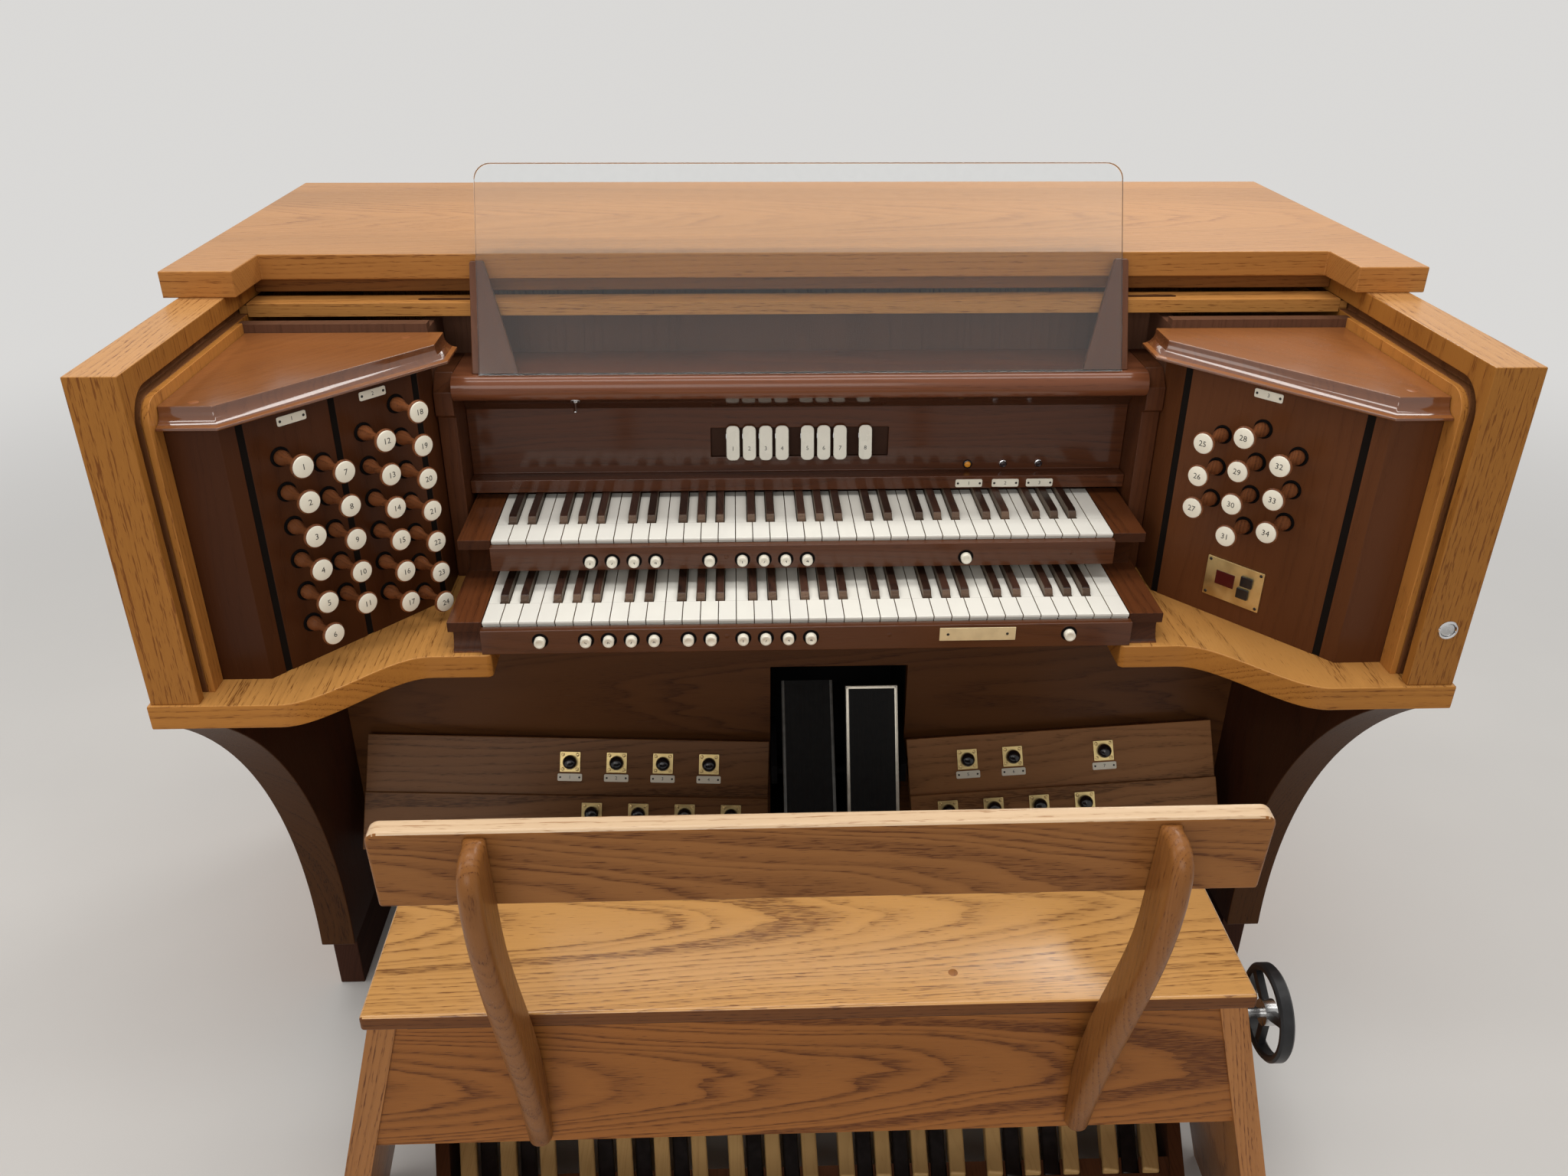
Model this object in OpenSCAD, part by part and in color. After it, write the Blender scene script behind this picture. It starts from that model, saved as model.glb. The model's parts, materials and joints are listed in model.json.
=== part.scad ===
// Two-manual drawknob pipe organ console with a concave radiating pedalboard and a backed bench.
// X runs along the keyboards, Y runs away from the player, Z is up, and the floor is z = 0.
// Distances called "behind the key fronts" are measured from the front edge of the lower manual.

/* [Case] */
// Height of the lower manual's key tops above the floor
key_h = 860; // [800:1:920]
// Width over the two side boards
case_w = 1608; // [1560:1:1700]
// Back of the side boards, behind the key fronts
case_back = 804; // [700:1:900]
// Thickness of the side boards
side_t = 59; // [50:1:65]
// How far the side boards stand in front of the key fronts
side_front = 123; // [110:1:140]
// Height of the side boards' tops above the key tops
side_rise = 373; // [360:1:400]
// Thickness of the lid
lid_t = 34; // [25:1:45]
// Overhang of the lid past each side board
lid_over = 18; // [5:1:30]
// Overhang of the lid past the back of the side boards
lid_back_over = 12; // [0:1:20]
// Front edge of the lid's two ears, behind the key fronts
lid_ear_y = 193; // [170:1:220]
// Width of each lid ear
lid_ear_w = 93; // [85:1:110]
// Front edge of the lid between its ears, behind the key fronts
lid_mid_y = 285; // [280:1:292]
// Thickness of the back boards and of the inner wall
board_t = 18; // [12:1:25]
// Height of the fascia strip under the lid's middle
fascia_h = 20; // [12:1:22]
// Front of the fascia strip, behind the key fronts
fascia_y = 300; // [298:1:310]

/* [Roll top] */
// Width of the tambour groove in each side board
groove_w = 13; // [10:1:14]
// Depth of the tambour groove
groove_d = 12; // [8:1:20]
// Land between the tambour groove and the side board's front edge
groove_front = 15; // [12:1:24]
// Land between the tambour groove and the side board's top edge
groove_top = 26; // [24:1:30]
// Radius of the groove's bend, at its outer wall
groove_r = 42; // [35:1:60]
// Width of the track strip inside the groove
track_w = 28; // [20:1:28]
// Thickness of the track strip
track_t = 8; // [5:1:10]
// Depth of the roll top's leading rail, front to back
rail_d = 42; // [30:1:44]
// Thickness of the roll top's leading rail
rail_t = 18; // [16:1:18]
// Front of the leading rail when the roll top is open, behind the key fronts
rail_y = 258; // [258:1:260]
// Length of each finger slot in the leading rail
finger_slot_l = 75; // [50:1:90]
// Distance of each finger slot's middle from the console's middle
finger_slot_x = 483; // [350:1:600]

/* [Key shelf] */
// Drop from the key tops to the shelf's top
shelf_drop = 40; // [36:1:60]
// Thickness of the shelf
shelf_t = 33; // [25:1:40]
// Overhang of the shelf past the side boards' outside and front
shelf_over = 4; // [2:1:8]
// Half the width of the shelf's opening for the keyboards
shelf_gap_x = 413; // [400:1:425]
// Front edge of the shelf beside the keyboards, in front of the key fronts
shelf_in_y = 18; // [10:1:30]
// Front edge of the key bed in the middle, behind the key fronts
bed_y = 50; // [40:1:70]
// Inner end of the sweep in the shelf's front edge
sweep_in_x = 490; // [475:1:510]
// Outer end of the sweep
sweep_out_x = 652; // [630:1:690]

/* [Legs and knee panel] */
// Radius of the hollow front edge of each leg
leg_r = 752; // [700:1:800]
// Centre of that curve in front of the key fronts
leg_arc_y = 560; // [540:1:580]
// Centre of that curve below the key tops
leg_arc_drop = 680; // [650:1:700]
// Thickness of the legs
leg_t = 56; // [45:1:59]
// Height of the foot block under each leg
foot_h = 130; // [100:1:150]
// Thickness of the foot block
foot_t = 42; // [35:1:45]
// Front of the foot block, behind the key fronts
foot_y = 234; // [215:1:260]
// Front face of the knee panel, behind the key fronts
knee_y = 355; // [340:1:370]
// Thickness of the knee panel
knee_t = 20; // [15:1:25]
// Height of the knee panel's lower edge above the floor
knee_low = 235; // [230:1:245]

/* [Expression shoes] */
// Left edge of the shoe opening
well_x0 = -40; // [-45:1:-38]
// Right edge of the shoe opening
well_x1 = 190; // [187:1:194]
// Top of the shoe opening below the key tops
well_top_drop = 293; // [285:1:297]
// Depth of the shoe well behind the knee panel
well_d = 190; // [180:1:240]
// Wall thickness of the shoe well
well_t = 10; // [8:1:10]
// Width of a shoe
shoe_w = 84; // [80:1:84]
// Length of a shoe
shoe_l = 286; // [270:1:290]
// Thickness of a shoe's plate
shoe_t = 14; // [10:1:16]
// Distance from the shaft to a shoe's treading face
shoe_off = 60; // [50:1:64]
// Gap between the two shoes
shoe_gap = 22; // [18:1:24]
// Lean of the left shoe from upright, in degrees
shoe_left_lean = 44; // [40:1:46]
// Lean of the right shoe from upright, in degrees
shoe_right_lean = 30; // [28:1:34]
// Radius of the shoes' shaft
shoe_pin_r = 6; // [5:0.5:8]
// Shaft height below the key tops
shoe_pin_drop = 475; // [470:1:482]
// Shaft position behind the key fronts
shoe_pin_y = 316; // [312:1:324]

/* [Toe boards] */
// Lean of the toe boards from upright, in degrees
toe_lean = 30; // [25:1:35]
// Height of the upper toe board along its slope
toe_upper_h = 96; // [85:1:110]
// Height of the lower toe board along its slope
toe_lower_h = 96; // [85:1:110]
// Thickness of the toe boards
toe_t = 20; // [15:1:22]
// Step between the upper and the lower board's face
toe_step = 5; // [2:1:8]
// Outer end of each toe board
toe_out_x = 716; // [700:1:722]
// Top inner corner of the toe boards below the key tops
toe_top_drop = 431; // [420:1:440]
// Rise of each toe board from its inner to its outer end
toe_rise = 30; // [20:1:40]
// Side of a toe stud's square plate
stud_plate = 34; // [30:1:38]
// Radius of a toe stud's dome
stud_r = 12; // [10:1:14]
// Spacing of the toe studs in a row
stud_pitch = 78; // [72:1:80]
// First stud of each upper row, from the toe board's inner end
upper_stud_x = 102; // [90:1:110]
// First stud of each lower row, from the toe board's inner end
lower_stud_x = 63; // [50:1:70]

/* [Stop jambs] */
// Width of each jamb's straight outer board, from the side board to the bend
jamb_return = 68; // [60:1:75]
// Corner of each jamb, in front of the key fronts
jamb_y = 66; // [60:1:72]
// Turn of the jamb's face from straight across, in degrees
jamb_turn = 49; // [47:1:51]
// Thickness of the jamb boards
jamb_t = 20; // [15:1:25]
// Height of the jambs' tops above the key tops
jamb_rise = 297; // [290:1:299]
// Thickness of the jamb caps
cap_t = 24; // [20:1:26]
// Overhang of the jamb caps
cap_over = 20; // [16:1:24]
// Height of the flat lips over and under the caps' cove
cap_lip = 4; // [3:0.5:5]
// Width of the dark grooves down each jamb
jamb_groove_w = 9; // [6:1:12]
// Depth of those grooves
jamb_groove_d = 5; // [3:1:8]
// Radius of a drawknob's face
knob_r = 14; // [12:0.5:15]
// Reach of a drawknob from its jamb
knob_reach = 51; // [45:1:60]
// Upright spacing of the drawknobs
knob_pitch = 45; // [42:1:46]
// Sideways spacing of the drawknob columns
knob_col = 52; // [48:1:54]

/* [Keyboards] */
// Spacing of the naturals
natural_pitch = 23.55; // [23:0.05:23.6]
// Gap between neighbouring keys
key_gap = 0.9; // [0.6:0.1:1.2]
// Height of a natural, top to bottom
natural_h = 20; // [16:1:24]
// Front overhang of the naturals' ivory covering
nosing_d = 3; // [1:0.5:4]
// Thickness of the naturals' covering
nosing_h = 5; // [3:0.5:6]
// Playing length of the lower naturals
lower_key_l = 150; // [146:1:154]
// Playing length of the upper naturals
upper_key_l = 155; // [150:1:156]
// Length of a natural's wide head
key_head_l = 50; // [46:1:54]
// Height of the sharps over the naturals
sharp_h = 11; // [9:0.5:13]
// Width of a sharp at its foot
sharp_w = 11; // [9:0.5:12]
// Distance from the lower to the upper manual's key fronts
manual_step_y = 109; // [100:1:112]
// Rise from the lower to the upper manual's key tops
manual_step_z = 65; // [62:1:68]
// Setback of a key slip behind its key fronts
slip_back = 12; // [8:1:14]
// Thickness of a key slip
slip_t = 12; // [8:1:14]
// Clearance of the upper key slip over the lower sharps
slip_clear = 13; // [8:1:16]
// Radius of a thumb piston
piston_r = 8; // [6:0.5:9]
// Reach of a thumb piston from its slip
piston_reach = 9; // [6:1:12]
// Spacing of the thumb pistons within a group
piston_pitch = 29.4; // [28:0.1:31]
// Height of the lower pistons under the lower naturals' tops
piston_low = 20; // [18:1:22]
// Height of the upper pistons under the upper naturals' tops
piston_high = 27; // [24:1:28]

/* [Key cheeks and end boards] */
// Width of a key cheek
cheek_w = 44; // [40:1:46]
// Thickness of a key cheek's top board
cheek_t = 14; // [10:1:18]
// Setback of the hollow bracket under each cheek's front edge
cheek_back = 4; // [2:1:8]
// How far the bracket is set in from the cheek's outer side
cheek_in = 6; // [3:1:10]
// Foot of the lower brackets, in front of the key fronts
bracket_low_y = 9; // [4:1:14]
// Foot of the upper brackets, behind the upper manual's key fronts
bracket_high_y = 39; // [30:1:50]
// Thickness of the end boards beside the keyboards
end_t = 25; // [20:1:25]
// Front of the end boards' heads, behind the key fronts
end_y = 199; // [196:1:203]
// Height of the end boards' heads
end_head_h = 60; // [50:1:70]
// How far the heads stand in front of the rest of the end boards
end_head_out = 10; // [6:1:12]
// Bevel on the heads' top front corner
end_bevel = 22; // [18:1:26]
// Height of the music rail's underside above the key tops
ledge_rise = 228; // [224:1:232]
// Thickness of the music rail
ledge_t = 36; // [32:1:38]
// Front of the music rail, behind the key fronts
ledge_y = 192; // [188:1:198]
// Front of the coupler board, behind the key fronts
coupler_y = 270; // [266:1:274]
// Clearance of the name rail over the upper naturals
name_rail_low = 10.5; // [10.5:0.5:14]
// Height of the name rail in front of the coupler board
name_rail_h = 19.5; // [16:0.5:24]
// Depth of the name rail in front of the coupler board
name_rail_d = 26; // [22:1:28]
// Thickness of the coupler board
coupler_t = 16; // [12:1:18]

/* [Coupler tablets] */
// Width of a tablet
tablet_w = 19; // [16:0.5:20]
// Height of a tablet
tablet_h = 50; // [44:1:54]
// Thickness of a tablet
tablet_t = 5; // [4:0.5:7]
// Tilt of a tablet from upright, in degrees
tablet_lean = 12; // [5:1:15]
// Gap between neighbouring tablets of a group
tablet_gap = 4.5; // [3:0.5:6]
// Height of the tablets' tops above the lower key tops
tablet_rise = 166; // [160:1:172]
// Width of the recess behind the tablets
recess_w = 256; // [240:1:280]
// Height of the recess
recess_h = 44; // [40:1:48]
// Depth of the recess
recess_d = 5; // [3:1:8]

/* [Music desk] */
// Lean of the desk from upright, in degrees
desk_lean = 24.3; // [22:0.1:25]
// Width of the clear panel
desk_w = 870; // [860:1:874]
// Height of the clear panel along its slope
desk_l = 277; // [250:1:300]
// Thickness of the clear panel
desk_t = 6; // [4:1:8]
// Radius of the clear panel's top corners
desk_r = 22; // [10:1:40]
// Width over the two wooden supports
support_span = 890; // [882:1:896]
// Width of a support at its foot
support_low_w = 66; // [50:1:80]
// Width of a support at its top
support_top_w = 19; // [12:1:26]
// Height of a support along its slope
support_l = 150; // [130:1:170]
// Thickness of a support
support_t = 9; // [6:1:10]
// Foot of the clear panel's face, behind the key fronts
desk_y = 204; // [203:1:206]

/* [Pedalboard] */
// Drop from the lower manual's key tops to the middle pedal naturals
pedal_drop = 749; // [740:1:760]
// Radius of the fan and of the hollow of the pedalboard
pedal_r = 2591; // [2500:1:2700]
// Front of the pedal sharps, behind the key fronts
pedal_line_y = 235; // [215:1:255]
// Spacing of the pedal naturals at the front of the sharps
pedal_pitch = 63.5; // [62:0.5:64]
// Width of a pedal natural
pedal_w = 22; // [20:1:25]
// Height of a pedal natural
pedal_h = 30; // [25:1:40]
// Length of a pedal natural from its heel to the front of the sharps
pedal_heel_l = 500; // [490:1:520]
// Length of a pedal sharp
pedal_sharp_l = 165; // [150:1:170]
// Height of a pedal sharp over the naturals
pedal_sharp_h = 22; // [18:1:30]
// Thickness of the pedalboard's cheeks
pedal_cheek_t = 18; // [16:1:20]
// Gap between the outer naturals and the cheeks, at the heel
pedal_cheek_gap = 12; // [8:1:14]
// Height of the pedalboard's cheeks above the floor
pedal_cheek_h = 185; // [170:1:200]
// Thickness of the pedalboard's heel and toe rails
pedal_rail_t = 24; // [20:1:30]

/* [Bench] */
// Sideways place of the bench's middle
bench_x = -15; // [-25:1:0]
// Height of the seat's top above the floor
seat_h = 632; // [600:1:660]
// Width of the seat
seat_w = 970; // [940:1:1000]
// Depth of the seat
seat_d = 300; // [290:1:320]
// Thickness of the seat
seat_t = 20; // [18:1:28]
// Rear edge of the seat, in front of the key fronts
seat_y = 447; // [435:1:460]
// Overhang of the seat past the aprons
seat_over = 17; // [12:1:25]
// Height of the bench's aprons
apron_h = 197; // [180:1:210]
// Thickness of the aprons
apron_t = 20; // [16:1:24]
// Height of the set-back strips over and under each apron
strip_h = 15; // [10:1:18]
// How far the strips are set back from the apron's face
strip_in = 6; // [3:1:8]
// Splay of the bench's ends from upright, in degrees
end_splay = 14.6; // [13:0.1:15]
// Thickness of the bench's ends
bench_end_t = 30; // [26:1:31]
// Half width over the bench's ends at their tops
bench_top_x = 481; // [478:1:486]
// Width of the backrest
back_w = 817; // [790:1:850]
// Height of the backrest board
back_h = 92; // [85:1:110]
// Thickness of the backrest board
back_t = 20; // [16:1:24]
// Height of the backrest's top above the seat
back_rise = 320; // [300:1:330]
// Rear face of the backrest, in front of the key fronts
back_y = 540; // [535:1:550]
// Lean of the backrest from upright, in degrees
back_lean = 5; // [3:1:6]
// Distance of the backrest's arms from the bench's middle
arm_x = 311; // [290:1:330]
// Thickness of an arm
arm_t = 26; // [22:1:30]
// Rearmost point of the arms, in front of the key fronts
arm_back = 590; // [580:1:600]

/* [Bench handwheel] */
// Radius of the handwheel
wheel_r = 55; // [50:1:56]
// Thickness of the handwheel's rim
wheel_rim = 9; // [6:1:10]
// Width of the handwheel's rim along its shaft
wheel_rim_w = 16; // [12:1:18]
// Radius of the handwheel's hub
wheel_hub_r = 15; // [12:1:18]
// Radius of the handwheel's shaft
wheel_shaft_r = 6; // [5:0.5:8]
// Gap from the bench's end to the wheel's rim
wheel_gap = 22; // [20:1:28]
// Shaft position in front of the key fronts
wheel_y = 405; // [395:1:412]
// Shaft height below the seat's top
wheel_drop = 70; // [68:1:80]

/* [Hidden] */
oak = "peru";
walnut = "saddlebrown";
ivory = "ivory";
seat_gap = 0.3;
eps = 0.01;

case_x = case_w / 2;
inner_x = case_x - side_t;
jamb_x = inner_x - jamb_return;
shelf_top = key_h - shelf_drop;
shelf_low = shelf_top - shelf_t;
side_top = key_h + side_rise;
groove_low = side_top - groove_top - groove_w;
naturals = 36;
keys_x = naturals * natural_pitch / 2;
cheek_out = keys_x + cheek_w + 1;
end_in = cheek_out + 4;
end_out = end_in + end_t;
ledge_top = key_h + ledge_rise + ledge_t;
wall_y = rail_y - 43;
key_y = (arm_back - case_back - lid_back_over) / 2;

module from_keys(x = 0) { translate([x, key_y, 0]) children(); }
module mirrored() { children(); mirror([1, 0, 0]) children(); }

// Case

// Outline of a side board: plain above the shelf
module side_outline() {
  translate([-side_front, shelf_top]) square([side_front + case_back, side_top - shelf_top]);
}

// Area inside the groove's outer wall, drawn in Y and Z and grown inwards by d
module groove_area(d) {
  r = groove_r - d;
  y0 = -side_front + groove_front + d;
  z1 = side_top - groove_top - d;
  hull() {
    translate([y0, shelf_top - 20]) square([case_back, 10]);
    translate([y0 + r, z1 - r]) intersection() { circle(r, $fn = 48); translate([-r, 0]) square(r); }
    translate([case_back, z1 - 10]) square([20, 10]);
  }
}

module right_side_board_shape() {
  from_keys() translate([case_x, 0, 0]) rotate([90, 0, -90]) mirror([1, 0, 0]) difference() {
    linear_extrude(side_t) side_outline();
    translate([0, 0, side_t - groove_d]) linear_extrude(groove_d + 1) intersection() {
      difference() { groove_area(0); groove_area(groove_w); }
      translate([-side_front, shelf_top - 1]) square([side_front + case_back - 40, side_rise + 60]);
    }
  }
}
module track_shape() {
  from_keys() translate([inner_x - seat_gap, 0, 0]) rotate([90, 0, -90]) mirror([1, 0, 0])
    linear_extrude(track_t) intersection() {
      difference() { groove_area(groove_w); groove_area(groove_w + track_w); }
      translate([-side_front, shelf_top]) square([side_front + wall_y - seat_gap, side_rise + 60]);
    }
}
module tambour_tracks() { color(oak) { track_shape(); mirror([1, 0, 0]) track_shape(); } }
module left_side_board() { color(oak) mirror([1, 0, 0]) right_side_board_shape(); }
module right_side_board() { color(oak) right_side_board_shape(); }

module lid() {
  x = case_x + lid_over;
  y1 = case_back + lid_back_over;
  color(oak) from_keys() {
    translate([0, 0, side_top]) linear_extrude(lid_t) polygon([[-x, lid_ear_y], [-x + lid_ear_w, lid_ear_y],
      [-x + lid_ear_w + 2, lid_mid_y], [x - lid_ear_w - 2, lid_mid_y], [x - lid_ear_w, lid_ear_y],
      [x, lid_ear_y], [x, y1], [-x, y1]]);
    translate([-inner_x + seat_gap, fascia_y, side_top - fascia_h])
      cube([2 * (inner_x - seat_gap), board_t, fascia_h + eps]);
  }
}

// Leading rail of the roll top, parked under the lid, with a tongue in each groove
module roll_top_rail() {
  z0 = groove_low + groove_w - rail_t + 1;
  tongue = groove_d - 2;
  color(oak) from_keys() difference() {
    union() {
      translate([-inner_x + 1, rail_y, z0]) cube([2 * inner_x - 2, rail_d, rail_t]);
      translate([-inner_x - tongue, rail_y + 1, groove_low + seat_gap])
        cube([2 * (inner_x + tongue), rail_d - 2, groove_w - 2]);
    }
    for (s = [-1, 1]) translate([s * finger_slot_x, rail_y + rail_d / 2, z0 + rail_t - 6]) hull()
      for (e = [-1, 1]) translate([e * (finger_slot_l / 2 - 6), 0, 0]) cylinder(10, r = 6, $fn = 24);
  }
}

module back_board() {
  z0 = foot_h;
  color(oak) from_keys() translate([-inner_x + seat_gap, case_back - board_t, z0])
    cube([2 * (inner_x - seat_gap), board_t, side_top - z0]);
}

// Upright wall behind the jambs and the music desk
module inner_wall() {
  z0 = shelf_top;
  z1 = groove_low - 2;
  color(walnut) from_keys() {
    for (s = [-1, 1]) translate([s < 0 ? -inner_x + seat_gap : end_out + seat_gap, wall_y, z0])
      cube([inner_x - end_out - 2 * seat_gap, board_t, z1 - z0]);
    translate([-end_out + eps, fascia_y + 8, z0]) cube([2 * end_out - 2 * eps, board_t, z1 - z0 - 8]);
    for (s = [-1, 1]) translate([s < 0 ? -end_out - board_t : end_out, wall_y, z0])
      cube([board_t, fascia_y + 8 + board_t - wall_y, z1 - z0 - 8]);
  }
}

// Shelf

// Right half of the shelf's outline, whose front edge sweeps in an S from the wide end to the narrow one
shelf_out_y = side_front + shelf_over;
function sweep_y(t) = -shelf_in_y - (shelf_out_y - shelf_in_y) * (1 - cos(180 * t)) / 2;
module shelf_half() {
  x_out = case_x + shelf_over;
  steps = 20;
  polygon(concat(
    [[-1, bed_y], [shelf_gap_x, bed_y], [shelf_gap_x, 4 - shelf_in_y], [shelf_gap_x + 5, -shelf_in_y]],
    [for (i = [0 : steps]) [sweep_in_x + (sweep_out_x - sweep_in_x) * i / steps, sweep_y(i / steps)]],
    [[x_out, -shelf_out_y], [x_out, case_back], [-1, case_back]]));
}

module key_shelf() {
  color(oak) from_keys() translate([0, 0, shelf_low]) difference() {
    linear_extrude(shelf_t) mirrored() shelf_half();
    translate([-inner_x + 60, knee_y + knee_t + 60, -1]) cube([2 * inner_x - 120, case_back, shelf_t + 2]);
    translate([-inner_x, case_back - board_t - seat_gap, -1]) cube([2 * inner_x, board_t + 20, shelf_t + 2]);
  }
}

// Legs

module leg_shape() {
  x1 = case_x;
  arc_z = key_h - leg_arc_drop;
  from_keys() {
    translate([x1, 0, 0]) rotate([90, 0, -90]) mirror([1, 0, 0]) linear_extrude(leg_t) difference() {
      translate([-side_front, foot_h]) square([side_front + case_back, shelf_low - foot_h]);
      translate([-leg_arc_y, arc_z]) circle(leg_r, $fn = 360);
    }
    translate([x1 - foot_t, foot_y, 0]) cube([foot_t, case_back - foot_y, foot_h + eps]);
  }
}
module left_leg() { color(oak) mirror([1, 0, 0]) leg_shape(); }
module right_leg() { color(oak) leg_shape(); }

knee_x = case_x - leg_t - seat_gap;
well_low = knee_low;
well_top = key_h - well_top_drop;

module knee_panel() {
  color(walnut) from_keys() difference() {
    translate([-knee_x, knee_y, knee_low]) cube([2 * knee_x, knee_t, shelf_low - knee_low]);
    translate([well_x0, knee_y - 1, well_low - 1])
      cube([well_x1 - well_x0, knee_t + 2, well_top - well_low + 1]);
  }
}

module shoe_well() {
  y0 = knee_y + knee_t;
  color("black") from_keys() difference() {
    translate([well_x0 - well_t, y0, well_low])
      cube([well_x1 - well_x0 + 2 * well_t, well_d, well_top - well_low + well_t]);
    translate([well_x0, y0 - 1, well_low + well_t])
      cube([well_x1 - well_x0, well_d - well_t + 1, well_top - well_low - well_t]);
  }
  color("black") from_keys() {
    for (x = [well_x0 + seat_gap, well_x1 - well_t - seat_gap]) translate([x, 0, key_h - shoe_pin_drop])
      rotate([90, 0, 90]) linear_extrude(well_t) polygon([[shoe_pin_y - 14, -18], [shoe_pin_y - 14, 18],
        [y0 + 5, 50], [y0 + 30, 50], [y0 + 30, -50], [y0 + 5, -50]]);
    translate([well_x0 + 1, shoe_pin_y, key_h - shoe_pin_drop]) rotate([0, 90, 0])
      cylinder(well_x1 - well_x0 - 2, r = shoe_pin_r, $fn = 32);
    for (x = [well_x0 - 1, well_x1 - 5]) translate([x, y0 + 4, key_h - shoe_pin_drop - 50])
      cube([6, 26, 100]);
  }
}

// Expression shoes: the plate leans, its back carries a boss on the shaft

well_mid = (well_x0 + well_x1) / 2;

module shoe(side, lean) {
  x0 = well_mid + (side < 0 ? -shoe_gap / 2 - shoe_w : shoe_gap / 2);
  color("dimgray") from_keys() translate([x0, shoe_pin_y, key_h - shoe_pin_drop]) rotate([-lean, 0, 0])
  difference() {
    union() {
      translate([0, -shoe_off, -shoe_l / 2]) cube([shoe_w, shoe_t, shoe_l]);
      rotate([0, 90, 0]) cylinder(shoe_w, r = shoe_pin_r + 7, $fn = 32);
      for (x = [0, shoe_w - 10]) translate([x, 0, 0]) rotate([90, 0, 90]) linear_extrude(10)
        polygon([[-shoe_off + shoe_t - 1, -80], [-shoe_off + shoe_t - 1, 80], [2, shoe_pin_r + 6],
          [2, -shoe_pin_r - 6]]);
    }
    translate([-1, 0, 0]) rotate([0, 90, 0]) cylinder(shoe_w + 2, r = shoe_pin_r + 0.05, $fn = 32);
  }
}
module left_expression_shoe() { shoe(-1, shoe_left_lean); }
module right_expression_shoe() { shoe(1, shoe_right_lean); }

// Toe boards

toe_in = [well_x0 - 2, well_x1 + 2];
toe_top_y = knee_y - toe_t * cos(toe_lean) - seat_gap;

module toe_board(x_in, x_out) {
  rise = atan(toe_rise / abs(x_out - x_in));
  s = sign(x_out - x_in);
  l = abs(x_out - x_in);
  from_keys() translate([x_in, toe_top_y, key_h - toe_top_drop]) rotate([0, -s * rise, 0])
    rotate([-toe_lean, 0, 0]) translate([s < 0 ? -l : 0, 0, 0]) {
      translate([0, 0, -toe_upper_h]) cube([l, toe_t, toe_upper_h]);
      translate([0, -toe_step, -toe_upper_h - toe_lower_h]) cube([l, toe_t, toe_lower_h + eps]);
    }
}
module toe_boards() {
  color("sienna") { toe_board(toe_in[0], -toe_out_x); toe_board(toe_in[1], toe_out_x); }
}

module toe_stud() {
  foot = 8;
  translate([-stud_plate / 2, -2, -stud_plate / 2]) cube([stud_plate, 2, stud_plate]);
  rotate([90, 0, 0]) cylinder(foot, r = stud_r, $fn = 24);
  translate([0, -foot, 0]) intersection() {
    sphere(stud_r, $fn = 24);
    translate([-stud_plate, -stud_plate, -stud_plate])
      cube([2 * stud_plate, stud_plate + eps, 2 * stud_plate]);
  }
}
module toe_studs() { color("goldenrod") toe_stud_rows(); }
module toe_stud_rows() {
  for (side = [-1, 1]) {
    x_in = side < 0 ? toe_in[0] : toe_in[1];
    rise = atan(toe_rise / abs(side * toe_out_x - x_in));
    upper = side < 0 ? [0 : 3] : [0, 1, 3];
    from_keys() translate([x_in, toe_top_y, key_h - toe_top_drop]) rotate([0, -side * rise, 0])
    rotate([-toe_lean, 0, 0]) {
      for (i = upper) translate([side * (upper_stud_x + i * stud_pitch), -seat_gap, -0.42 * toe_upper_h])
        toe_stud();
      for (i = [0 : 3]) translate([side * (lower_stud_x + i * stud_pitch), -toe_step - seat_gap,
        -toe_upper_h - 0.3 * toe_lower_h]) toe_stud();
    }
  }
}

// Stop jambs

jamb_dx = cos(jamb_turn);
jamb_dy = sin(jamb_turn);
jamb_l = (jamb_x - end_out - 1) / jamb_dx;
function on_jamb(s, out = 0) = [jamb_x - s * jamb_dx - out * jamb_dy, -jamb_y + s * jamb_dy - out * jamb_dx];

// Plan of a right-hand jamb board, as a bent board of even thickness, with grooves at these places
module jamb_plan(grooves) {
  c = on_jamb(0);
  e = on_jamb(jamb_l);
  t = jamb_t;
  difference() {
    polygon([[inner_x - seat_gap, c[1]], c, e, [e[0], wall_y - seat_gap], [e[0] + t, wall_y - seat_gap],
      [e[0] + t, e[1] + t * 0.35], [c[0] + t * 0.45, c[1] + t], [inner_x - seat_gap, c[1] + t]]);
    for (s = grooves) {
      p = on_jamb(s);
      translate(p) rotate(180 - jamb_turn) translate([-jamb_groove_w / 2, -1])
        square([jamb_groove_w, jamb_groove_d + 1]);
    }
  }
}
module jamb_shape(grooves) {
  from_keys() translate([0, 0, shelf_top]) linear_extrude(key_h + jamb_rise - shelf_top) jamb_plan(grooves);
}
groove_out = 25;
groove_mid = 145;
groove_in = 266;
module left_stop_jamb() { color(walnut) mirror([1, 0, 0]) jamb_shape([groove_out, groove_mid, groove_in]); }
module right_stop_jamb() { color(walnut) jamb_shape([groove_out, groove_in]); }

// Corners of a right-hand jamb cap that stands out by o, from the side board round to its inner end
cap_out_x = inner_x - track_t - 2 * seat_gap;
cap_in_x = end_in + 8;
function cap_corners(o) = [[cap_out_x, -jamb_y - o], [jamb_x - o * tan(jamb_turn / 2), -jamb_y - o],
  on_jamb((jamb_x - cap_in_x + o - o * jamb_dy) / jamb_dx, o), [cap_in_x - o, wall_y - seat_gap]];

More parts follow.
